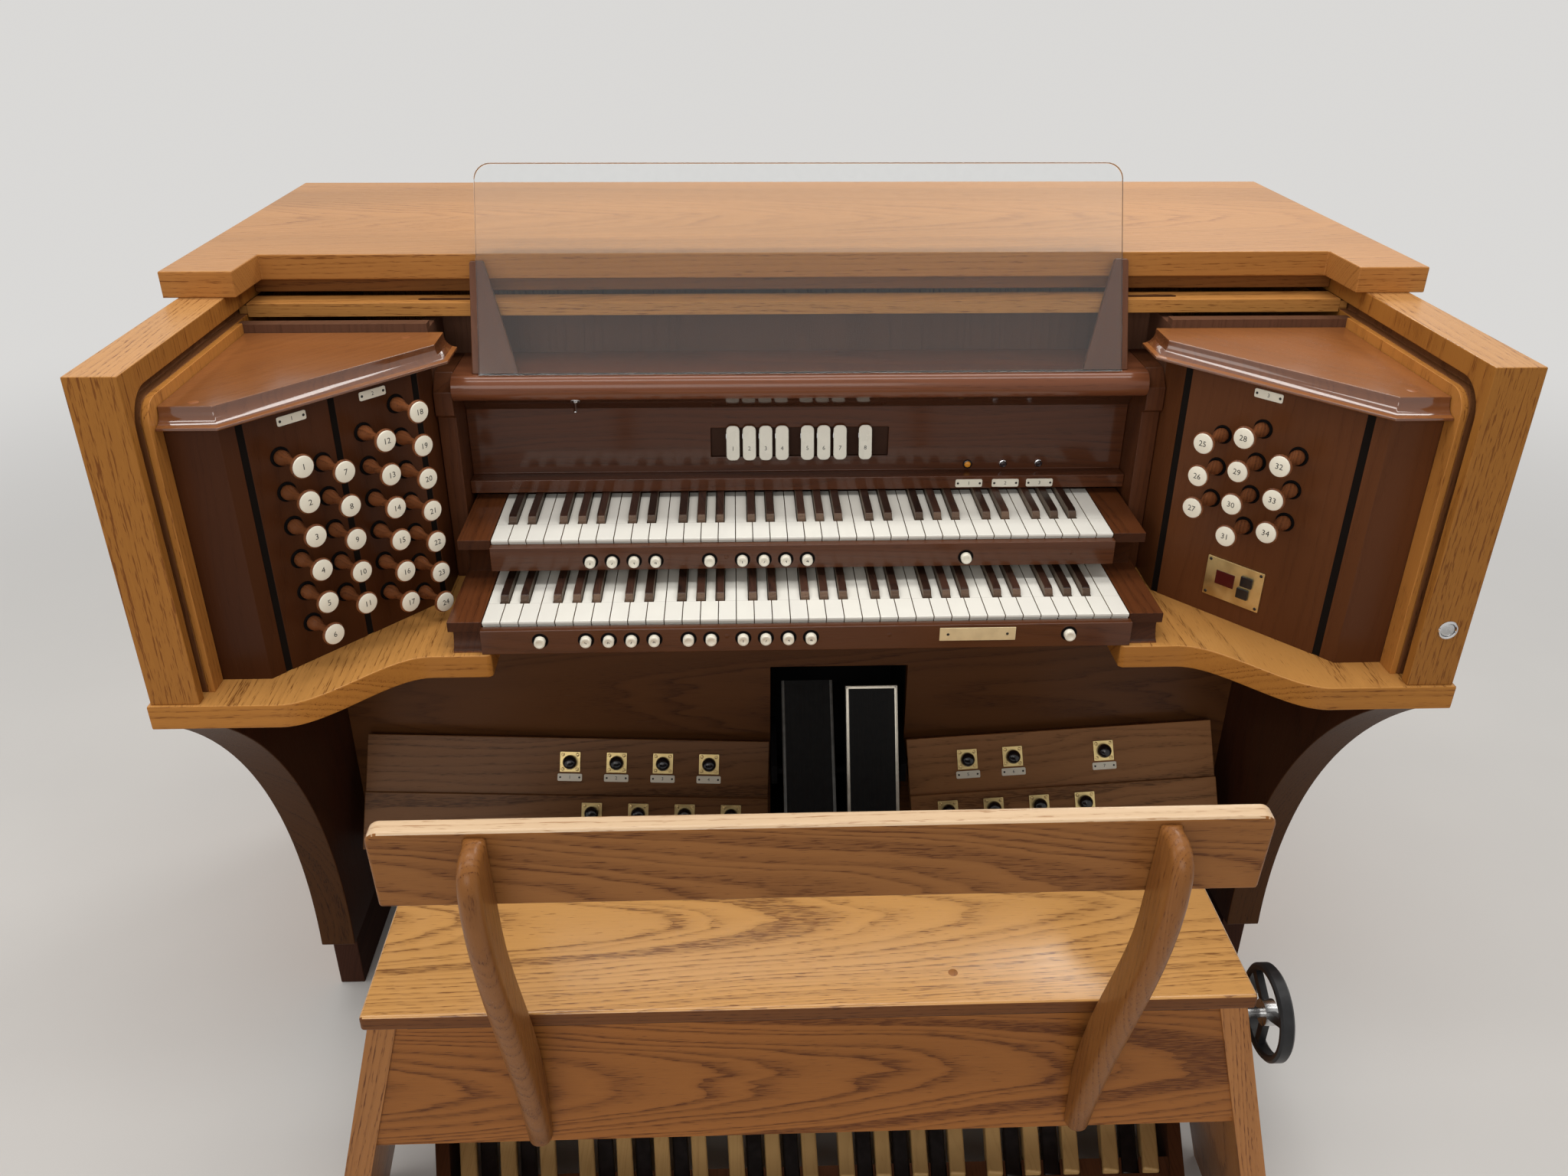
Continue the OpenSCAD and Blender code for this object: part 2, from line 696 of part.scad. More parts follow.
// Section of the caps' edge, drawn outwards from the jamb's face: a wide lip, a cove that runs in over it,
// and a narrow lip at the top
cove_r = cap_t - 2 * cap_lip;
cove_steps = 8;
function cove_point(a) = [cap_over + cove_r * cos(a), cap_lip + cove_r + cove_r * sin(a)];
module cap_edge() {
  polygon(concat([[-1, 0], [cap_over, 0]], [for (i = [0 : cove_steps]) cove_point(270 - 90 * i / cove_steps)],
    [[cap_over - cove_r, cap_t], [-1, cap_t]]));
}
// The moulded edge along one side of a cap, mitred at its corners
module cap_moulding(i) {
  a = cap_corners(0)[i];
  b = cap_corners(0)[i + 1];
  run = norm(b - a);
  intersection() {
    translate(a) rotate(atan2(b[1] - a[1], b[0] - a[0])) translate([-2 * cap_over, 0, 0]) rotate([90, 0, 90])
      linear_extrude(run + 4 * cap_over) cap_edge();
    linear_extrude(cap_t) polygon([cap_corners(-1)[i], cap_corners(-1)[i + 1],
      cap_corners(cap_over)[i + 1], cap_corners(cap_over)[i]]);
  }
}
module cap_shape() {
  from_keys() translate([0, 0, key_h + jamb_rise]) {
    linear_extrude(cap_t) polygon(concat(cap_corners(0), [[cap_out_x, wall_y - seat_gap]]));
    for (i = [0 : 2]) cap_moulding(i);
  }
}
module jamb_caps() { color(walnut) { mirror([1, 0, 0]) cap_shape(); cap_shape(); } }

// Turned drawknob along +Z from its jamb
module drawknob() {
  rotate_extrude($fn = 24) polygon([[0, 0], [8.5, 0], [9, 4], [8, 9], [5, 20], [4.5, 30], [6, 38], [10, 43],
    [knob_r + 1, knob_reach - 4], [knob_r + 1, knob_reach - 1.5], [knob_r, knob_reach], [0, knob_reach]]);
}
module knob_at(s, z) {
  p = on_jamb(s, seat_gap);
  from_keys() translate([p[0], p[1], key_h + z]) rotate([90, 0, -jamb_turn]) drawknob();
}
module knob_column(s, top, count) {
  for (i = [0 : count - 1]) knob_at(s, top - i * knob_pitch);
}
module pedal_drawknobs() {
  color("sienna") mirror([1, 0, 0]) {
    knob_column(67, 238, 6);
    knob_column(67 + knob_col, 215, 5);
  }
}
module swell_drawknobs() {
  color("sienna") mirror([1, 0, 0]) {
    knob_column(181, 236, 6);
    knob_column(181 + knob_col, 259, 7);
  }
}
module great_drawknobs() {
  color("sienna") {
    knob_column(101, 216, 3);
    knob_column(101 + knob_col, 238, 4);
    knob_column(101 + 2 * knob_col, 216, 3);
  }
}

module memory_plate() {
  p = on_jamb(152, seat_gap);
  color("gold") from_keys() translate([p[0], p[1], key_h + 18]) rotate([90, 0, -jamb_turn])
    translate([-41, -29, 0]) cube([82, 58, 3]);
}

// Keyboards

// Places of the sharps in an octave, in naturals from its C, a little off centre as real keys are
sharp_at = [0.94, 2.06, 3.91, 5, 6.09];
sharp_cut = sharp_w + 2 * key_gap;
function sharps_of(i) = [for (o = [0 : 4]) for (s = sharp_at) o * 7 + s];
module natural_body(i, l) {
  x0 = -keys_x + i * natural_pitch + key_gap / 2;
  w = natural_pitch - key_gap;
  difference() {
    union() {
      translate([x0, nosing_d, -natural_h]) cube([w, l - nosing_d, natural_h - nosing_h + eps]);
      translate([x0, 0, -nosing_h]) cube([w, l, nosing_h]);
    }
    for (s = sharps_of(0)) if (s > i - 0.6 && s < i + 1.6)
      translate([-keys_x + s * natural_pitch - sharp_cut / 2, key_head_l, -natural_h - 1])
        cube([sharp_cut, l, natural_h + 2]);
  }
}
module sharp(x, l) {
  back = l - key_head_l - 2;
  translate([x - sharp_w / 2, key_head_l + key_gap, 0]) rotate([90, 0, 90]) linear_extrude(sharp_w)
    polygon([[0, -natural_h], [0, 4], [4.5, sharp_h - 1.5], [10, sharp_h], [back, sharp_h - 2],
      [back, -natural_h]]);
}
module manual_naturals(y, z, l) {
  from_keys() translate([0, y, z]) for (i = [0 : naturals - 1]) natural_body(i, l);
}
module manual_sharps(y, z, l) {
  from_keys() translate([0, y, z]) for (s = sharps_of(0)) sharp(-keys_x + s * natural_pitch, l);
}
module lower_naturals() { color(ivory) manual_naturals(0, key_h, lower_key_l); }
module lower_sharps() { color("#4a2a1c") manual_sharps(0, key_h, lower_key_l); }
module upper_naturals() { color(ivory) manual_naturals(manual_step_y, key_h + manual_step_z, upper_key_l); }
module upper_sharps() { color("#4a2a1c") manual_sharps(manual_step_y, key_h + manual_step_z, upper_key_l); }

// Boards under the hidden part of each manual
module key_frames() {
  color("tan") from_keys() {
    translate([-slip_x, -seat_gap, shelf_top])
      cube([2 * slip_x, lower_key_l + 40, shelf_drop - natural_h - seat_gap]);
    translate([-slip_x, manual_step_y + 3, upper_slip_z])
      cube([2 * slip_x, upper_key_l - 4, key_h + manual_step_z - natural_h - seat_gap - upper_slip_z]);
  }
}

slip_x = keys_x + 1 - seat_gap;
lower_slip_y = -slip_t - nosing_d;
upper_slip_y = manual_step_y - slip_back;
upper_slip_z = key_h + sharp_h + slip_clear;

// Slips under the fronts of the naturals, which carry the thumb pistons
module key_slips() {
  color(walnut) from_keys() {
    translate([-slip_x, lower_slip_y, shelf_top]) cube([2 * slip_x, slip_t, shelf_drop - nosing_h]);
    translate([-slip_x, upper_slip_y, upper_slip_z])
      cube([2 * slip_x, slip_t, key_h + manual_step_z - nosing_h - 1 - upper_slip_z]);
  }
}

// Places of the thumb pistons, in groups of even spacing
function piston_group(first, count) = [for (i = [0 : count - 1]) first + i * piston_pitch];
lower_pistons = concat([-348], piston_group(-289, 4), piston_group(-156.5, 2), piston_group(-85.6, 4),
  [341.5]);
upper_pistons = concat(piston_group(-290.5, 4), [-129.6], piston_group(-85.2, 4), [219.6]);
module piston() {
  rotate([90, 0, 0]) rotate_extrude($fn = 24) polygon([[0, 0], [piston_r, 0], [piston_r, piston_reach - 1],
    [piston_r - 1, piston_reach], [0, piston_reach]]);
}
module thumb_pistons() {
  color(ivory) from_keys() {
    for (x = lower_pistons) translate([x, lower_slip_y - seat_gap, key_h - piston_low]) piston();
    for (x = upper_pistons)
      translate([x, upper_slip_y - seat_gap, key_h + manual_step_z - piston_high]) piston();
  }
}

// Key cheeks: a board level with each manual over a bracket with a hollow front

cheek_end = coupler_y - 4;
// Hollow from a bracket's top front corner down to its foot
function hollow(y0, z0, y1, z1) = [for (a = [0 : 15 : 90]) y1 > y0
  ? [y0 + (y1 - y0) * sin(a), z1 + (z0 - z1) * cos(a)]
  : [y1 + (y0 - y1) * cos(a), z0 - (z0 - z1) * sin(a)]];
module cheek_block(y, z, z_low, foot_y) {
  translate([keys_x + 1, y, z - cheek_t]) cube([cheek_w, cheek_end - y, cheek_t]);
  translate([keys_x + 1, 0, 0]) rotate([90, 0, 90]) linear_extrude(cheek_w - cheek_in)
    polygon(concat(hollow(y + cheek_back, z - cheek_t + eps, foot_y, z_low),
      [[cheek_end, z_low], [cheek_end, z - cheek_t + eps]]));
}
module key_cheeks() {
  color(walnut) from_keys() mirrored() {
    cheek_block(0, key_h, shelf_top, -bracket_low_y);
    cheek_block(manual_step_y, key_h + manual_step_z, key_h - eps, manual_step_y + bracket_high_y);
  }
}

module end_boards() {
  z1 = ledge_top;
  color(walnut) from_keys() mirrored() translate([end_in, 0, 0]) rotate([90, 0, 90]) linear_extrude(end_t)
    polygon([[end_y + end_head_out, shelf_top], [end_y + end_head_out, z1 - end_head_h],
      [end_y, z1 - end_head_h + end_head_out / 2], [end_y, z1 - end_bevel], [end_y + end_bevel, z1],
      [fascia_y + 6, z1], [fascia_y + 6, shelf_top]]);
}

coupler_low = key_h + manual_step_z + 2;
tablet_top = key_h + tablet_rise;
module coupler_board() {
  w = 2 * (end_in - seat_gap);
  color(walnut) from_keys() difference() {
    union() {
      translate([-w / 2, coupler_y, coupler_low])
        cube([w, coupler_t, ledge_top - ledge_t - coupler_low - seat_gap]);
      translate([-w / 2, coupler_y - name_rail_d, key_h + manual_step_z + name_rail_low])
        cube([w, name_rail_d + eps, name_rail_h]);
    }
    translate([-recess_w / 2, coupler_y - 1, tablet_top - 4 - recess_h])
      cube([recess_w, recess_d + 1, recess_h]);
  }
}

// Places of the tablets: groups of four, three and one
tablet_pitch = tablet_w + tablet_gap;
tablets = [for (slot = [0, 1, 2, 3, 4.55, 5.55, 6.55, 8.1]) (slot - 4.1) * tablet_pitch];
module coupler_tablets() {
  color(ivory) from_keys() for (x = tablets)
    translate([x, coupler_y - seat_gap, tablet_top]) rotate([-tablet_lean, 0, 0])
      translate([-tablet_w / 2, -tablet_t, -tablet_h]) cube([tablet_w, tablet_t, tablet_h]);
}

// Music rail: bullnosed front edge and the flat ledge behind it

module music_rail() {
  r = ledge_t / 2;
  color(walnut) from_keys() translate([-end_in + seat_gap, 0, ledge_top - ledge_t]) rotate([90, 0, 90])
    linear_extrude(2 * (end_in - seat_gap)) union() {
      translate([ledge_y + r, r]) circle(r, $fn = 32);
      translate([ledge_y + r, 0]) square([fascia_y + 8 - ledge_y - r - seat_gap, ledge_t]);
    }
}

// Clear panel and the two tapered supports that it leans on

module on_desk_slope() {
  from_keys() translate([0, desk_y + desk_t * cos(desk_lean), ledge_top + seat_gap])
    rotate([-desk_lean, 0, 0]) children();
}
// Everything under the ledge, which trims the feet of the desk and its supports
module under_ledge() {
  from_keys() translate([-support_span, 0, ledge_top - 2 * ledge_t])
    cube([2 * support_span, case_back, 2 * ledge_t + seat_gap]);
}
module desk_supports() {
  color(walnut) difference() {
    on_desk_slope() mirrored() translate([support_span / 2, 0, -10]) rotate([90, 0, 0]) mirror([1, 0, 0])
      translate([0, 0, -support_t - seat_gap]) linear_extrude(support_t) polygon([[0, 0], [support_low_w, 0],
        [support_top_w, support_l + 10], [2, support_l + 10], [0, support_l + 8]]);
    under_ledge();
  }
}
module music_desk() {
  color("aliceblue", 0.4) difference() {
    on_desk_slope() translate([0, 0, -10]) rotate([90, 0, 0]) linear_extrude(desk_t) union() {
      translate([-desk_w / 2, 0]) square([desk_w, desk_l + 10 - desk_r]);
      translate([-desk_w / 2 + desk_r, 0]) square([desk_w - 2 * desk_r, desk_l + 10]);
      for (s = [-1, 1]) translate([s * (desk_w / 2 - desk_r), desk_l + 10 - desk_r]) circle(desk_r, $fn = 32);
    }
    under_ledge();
  }
}

// Pedalboard

pedal_cz = key_h - pedal_drop;
pedal_fan_y = pedal_line_y - pedal_r;
pedal_step = pedal_pitch / pedal_r * 180 / PI;
pedal_sharp_at = [0, 1, 3, 4, 5, 7, 8, 10, 11, 12, 14, 15, 17];
module fan(k) {
  x = k * pedal_pitch;
  rise = pedal_r - sqrt(pedal_r * pedal_r - x * x);
  from_keys() translate([0, pedal_fan_y, pedal_cz + rise]) rotate([0, 0, -k * pedal_step])
    translate([0, pedal_r, 0]) children();
}
module pedal_naturals() {
  color("burlywood") for (k = [-9 : 9]) fan(k)
    translate([-pedal_w / 2, -pedal_heel_l, -pedal_h]) cube([pedal_w, pedal_heel_l + pedal_sharp_l, pedal_h]);
}
module pedal_sharps() {
  color("black") for (k = pedal_sharp_at) fan(k - 8.5) rotate([90, 0, 90]) translate([0, 0, -pedal_w / 2])
    linear_extrude(pedal_w) polygon([[-pedal_heel_l, -pedal_h], [-pedal_heel_l, -8], [-30, -8], [0, 8],
      [14, pedal_sharp_h], [pedal_sharp_l, pedal_sharp_h - 4], [pedal_sharp_l, -pedal_h]]);
}
// Board that follows the fan between two distances from its centre, hollowed to the pedals' dip
module pedal_rail(r0, r1, top) {
  reach = 2 * pedal_r;
  tall = 2 * pedal_cheek_h;
  dip = r0 * r0 / pedal_r;
  intersection() {
    linear_extrude(tall) intersection() {
      difference() { circle(r1, $fn = 720); circle(r0, $fn = 720); }
      polygon([[0, 0], [-sin(pedal_half) * reach, cos(pedal_half) * reach],
        [sin(pedal_half) * reach, cos(pedal_half) * reach]]);
    }
    rotate([90, 0, 0]) translate([0, 0, -reach]) linear_extrude(reach) difference() {
      translate([-reach, 0]) square([2 * reach, tall]);
      translate([0, pedal_cz + top + dip]) circle(dip, $fn = 720);
    }
  }
}
// Room for one pedal in the rails
module pedal_slot(k) {
  fan(k) translate([-pedal_w / 2 - seat_gap, -pedal_heel_l - seat_gap, -pedal_h - seat_gap])
    cube([pedal_w + 2 * seat_gap, pedal_heel_l + pedal_sharp_l + 2 * seat_gap, pedal_h + pedal_cheek_h]);
}
module pedal_cuts() {
  for (k = [-9 : 9]) pedal_slot(k);
  for (k = pedal_sharp_at) pedal_slot(k - 8.5);
}
pedal_half = 9 * pedal_step
  + (pedal_w / 2 + pedal_cheek_gap + pedal_cheek_t / 2) / (pedal_r - pedal_heel_l) * 180 / PI;
module pedal_frame() {
  color("sienna") difference() {
    from_keys() translate([0, pedal_fan_y, 0]) {
      pedal_rail(pedal_r - pedal_heel_l - pedal_rail_t, pedal_r - pedal_heel_l + pedal_rail_t, -8);
      pedal_rail(pedal_r + pedal_sharp_l - pedal_rail_t, pedal_r + pedal_sharp_l + pedal_rail_t, -8);
      for (s = [-1, 1]) rotate([0, 0, s * pedal_half])
        translate([-pedal_cheek_t / 2, pedal_r - pedal_heel_l - pedal_rail_t, 0])
        cube([pedal_cheek_t, pedal_heel_l + pedal_sharp_l + 2 * pedal_rail_t, pedal_cheek_h]);
    }
    pedal_cuts();
  }
}

// Bench

apron_in = 3;
function splay_x(z) = bench_top_x + (seat_h - seat_t - z) * tan(end_splay);
module bench_seat() {
  color(oak) from_keys(bench_x) translate([-seat_w / 2, -seat_y, seat_h - seat_t])
    cube([seat_w, seat_d, seat_t]);
}
// Board between the bench's ends from height z0 to z1, cut to their splay
module between_ends(y, t, z0, z1) {
  th = bench_end_t / cos(end_splay) - 1;
  rotate([90, 0, 0]) translate([0, 0, -y - t]) linear_extrude(t)
    polygon([[th - splay_x(z1), z1], [splay_x(z1) - th, z1], [splay_x(z0) - th, z0], [th - splay_x(z0), z0]]);
}
// Apron whose outer face is at y, facing the way of side, with a strip set back over and under it
module apron(y, side, z1) {
  z0 = z1 - apron_h;
  back = side < 0 ? y : y - apron_t;
  strip = side < 0 ? y + strip_in : y - apron_t;
  between_ends(back, apron_t, z0, z1 - strip_h);
  between_ends(strip, apron_t - strip_in, z1 - strip_h - eps, z1);
  between_ends(strip, apron_t - strip_in, z0 - strip_h, z0 + eps);
}
module bench_frame() {
  z1 = seat_h - seat_t - seat_gap;
  y0 = -seat_y + seat_over;
  d = seat_d - 2 * seat_over;
  th = bench_end_t / cos(end_splay);
  color(oak) from_keys(bench_x) difference() { union() {
    mirrored() rotate([90, 0, 0]) translate([0, 0, -y0 - d]) linear_extrude(d)
      polygon([[splay_x(z1) - th, z1], [splay_x(z1), z1], [splay_x(0), 0], [splay_x(0) - th, 0]]);
    apron(y0 + apron_in, -1, z1);
    apron(y0 + d - apron_in, 1, z1);
    }
    translate([splay_x(seat_h - wheel_drop) - 80, -wheel_y, seat_h - wheel_drop]) rotate([0, 90, 0])
      cylinder(120, r = wheel_shaft_r + 0.05, $fn = 32);
  }
}
module backrest() {
  color(oak) from_keys(bench_x) translate([0, -back_y, seat_h + back_rise]) rotate([back_lean + 90, 0, 0])
    translate([0, 0, -back_t]) linear_extrude(back_t) union() {
      translate([-back_w / 2, -back_h]) square([back_w, back_h - 12]);
      translate([-back_w / 2 + 12, -back_h]) square([back_w - 24, back_h]);
      for (s = [-1, 1]) translate([s * (back_w / 2 - 12), -12]) circle(12, $fn = 32);
    }
}
// Point of the backrest's rear face this far below its top
function back_face(drop) =
  [-back_y + drop * tan(back_lean) - seat_gap / cos(back_lean), seat_h + back_rise - drop];
function bezier(p, steps) = [for (i = [0 : steps]) let (t = i / steps, u = 1 - t)
  u * u * u * p[0] + 3 * u * u * t * p[1] + 3 * u * t * t * p[2] + t * t * t * p[3]];

// Swept arms, seated on the rear apron and on the backrest's rear face
module backrest_arms() {
  foot_z = seat_h - seat_t - apron_h;
  foot_y = -seat_y + seat_over + apron_in - seat_gap;
  top_z = seat_h + back_rise;
  steps = 12;
  lower_edge = back_face(back_h + 4);
  inside = bezier([lower_edge, lower_edge + [4, -96], [foot_y - 24, foot_z + 238], [foot_y, foot_z + 90]],
    steps);
  outside = bezier([[foot_y - 20, foot_z + 8], [foot_y - 75, foot_z + 232], [-arm_back, seat_h + 168],
    [-arm_back, top_z - 37]], steps);
  crown = bezier([[-arm_back, top_z - 37], [-arm_back, top_z], [-arm_back + 30, top_z + 2], back_face(6)],
    steps);
  color(oak) from_keys(bench_x) mirrored() translate([arm_x - arm_t / 2, 0, 0]) rotate([90, 0, 90])
    linear_extrude(arm_t)
      polygon(concat(inside, [[foot_y, foot_z + 5], [foot_y - 12, foot_z + 3]], outside, crown));
}
module wheel_rim_ring() {
  w = wheel_rim_w;
  r0 = wheel_r - wheel_rim;
  c = 2.5;
  rotate_extrude($fn = 96) polygon([[r0, c], [r0 + c, 0], [wheel_r - c, 0], [wheel_r, c], [wheel_r, w - c],
    [wheel_r - c, w], [r0 + c, w], [r0, w - c]]);
}
module bench_handwheel() {
  z = seat_h - wheel_drop;
  x0 = splay_x(z);
  color("black") from_keys(bench_x) translate([x0, -wheel_y, z]) rotate([0, 90, 0]) {
    translate([0, 0, -bench_end_t - 15])
      cylinder(bench_end_t + 15 + wheel_gap + 12, r = wheel_shaft_r, $fn = 32);
    translate([0, 0, wheel_gap]) {
      cylinder(wheel_rim_w - 2, r = wheel_hub_r, $fn = 32);
      wheel_rim_ring();
      for (a = [0, 120, 240]) rotate([0, 0, a]) translate([0, -5, 3]) cube([wheel_r - wheel_rim + 1, 10, 8]);
    }
  }
}

left_side_board();
right_side_board();
tambour_tracks();
lid();
roll_top_rail();
back_board();
inner_wall();
key_shelf();
left_leg();
right_leg();
knee_panel();
shoe_well();
left_expression_shoe();
right_expression_shoe();
toe_boards();
toe_studs();
left_stop_jamb();
right_stop_jamb();
jamb_caps();
pedal_drawknobs();
swell_drawknobs();
great_drawknobs();
memory_plate();
key_frames();
lower_naturals();
lower_sharps();
upper_naturals();
upper_sharps();
key_slips();
thumb_pistons();
key_cheeks();
end_boards();
coupler_board();
coupler_tablets();
music_rail();
desk_supports();
music_desk();
pedal_frame();
pedal_naturals();
pedal_sharps();
bench_seat();
bench_frame();
backrest();
backrest_arms();
bench_handwheel();
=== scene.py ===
import json
import math

import bmesh
import bpy
from mathutils import Matrix, Vector


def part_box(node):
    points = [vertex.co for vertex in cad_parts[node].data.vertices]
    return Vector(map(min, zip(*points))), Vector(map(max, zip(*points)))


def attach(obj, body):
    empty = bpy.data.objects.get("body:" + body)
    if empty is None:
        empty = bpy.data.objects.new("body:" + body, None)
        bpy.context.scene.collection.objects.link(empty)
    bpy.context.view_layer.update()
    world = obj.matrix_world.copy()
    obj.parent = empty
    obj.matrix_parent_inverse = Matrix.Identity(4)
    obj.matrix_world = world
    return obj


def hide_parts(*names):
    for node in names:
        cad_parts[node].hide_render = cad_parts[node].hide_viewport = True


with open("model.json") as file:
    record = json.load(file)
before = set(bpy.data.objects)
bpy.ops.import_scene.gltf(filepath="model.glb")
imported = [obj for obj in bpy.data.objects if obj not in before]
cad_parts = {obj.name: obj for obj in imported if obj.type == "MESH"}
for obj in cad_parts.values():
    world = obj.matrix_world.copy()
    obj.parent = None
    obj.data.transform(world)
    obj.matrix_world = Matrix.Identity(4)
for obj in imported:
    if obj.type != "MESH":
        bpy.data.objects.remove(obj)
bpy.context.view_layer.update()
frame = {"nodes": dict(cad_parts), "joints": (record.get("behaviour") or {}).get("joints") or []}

scene = bpy.context.scene
nodes = frame["nodes"]
player = Vector((0, -1, 0))
up = Vector((0, 0, 1))

# Camera
# It stands at a visitor's eye level behind the bench and looks down over the seat at the keys.
# Place, turn and lens are those at which the case's corners fall where the reference view has them.
eye = Vector((-0.08897, -1.52789, 1.65640))
look_down = math.radians(27.96)
look_right = 0.040
camera_roll = 0.006
lens = bpy.data.cameras.new("camera")
lens.lens = 28.58
lens.sensor_width = 36
camera = bpy.data.objects.new("camera", lens)
scene.collection.objects.link(camera)
camera.matrix_world = (
    Matrix.Translation(eye)
    @ Matrix.Rotation(-look_right, 4, "Z")
    @ Matrix.Rotation(math.pi / 2 - look_down, 4, "X")
    @ Matrix.Rotation(camera_roll, 4, "Z")
)
scene.camera = camera


# Side boards
# Two thick oak boards stand on the shelf and carry the lid; a groove for the roll top runs round each.
# Their edges are banded with upright oak, varnished golden, and every arris is sanded round.
def wire(tree, kind, inputs=None, **settings):
    """Adds a node to a material or a shape tree and feeds its inputs from sockets or plain values."""
    made = tree.nodes.new(kind)
    for name, value in settings.items():
        setattr(made, name, value)
    for place, value in (inputs or {}).items():
        if isinstance(value, bpy.types.NodeSocket):
            tree.links.new(value, made.inputs[place])
        else:
            made.inputs[place].default_value = value
    return made


def calc(tree, operation, first, second=0.0, clamp=False):
    figure = wire(tree, "ShaderNodeMath", {0: first, 1: second}, operation=operation, use_clamp=clamp)
    return figure.outputs[0]


def streaks(tree, place, along, over, detail=2.0, rough=0.5):
    """Noise drawn out along the board: its scale along the grain and its scale over it."""
    stretched = wire(tree, "ShaderNodeVectorMath", {0: place, 1: (along, over, over)}, operation="MULTIPLY")
    noise = wire(tree, "ShaderNodeTexNoise", {"Vector": stretched.outputs[0], "Scale": 1.0, "Detail": detail,
                                              "Roughness": rough})
    return noise.outputs["Fac"]


def spread(tree, value, low, high, to_low=0.0, to_high=1.0):
    return wire(tree, "ShaderNodeMapRange", {"Value": value, "From Min": low, "From Max": high,
                                             "To Min": to_low, "To Max": to_high}).outputs["Result"]


def blended(tree, factor, first, second, blend="MIX"):
    return wire(tree, "ShaderNodeMix", {0: factor, 6: first, 7: second}, data_type="RGBA",
                blend_type=blend).outputs[2]


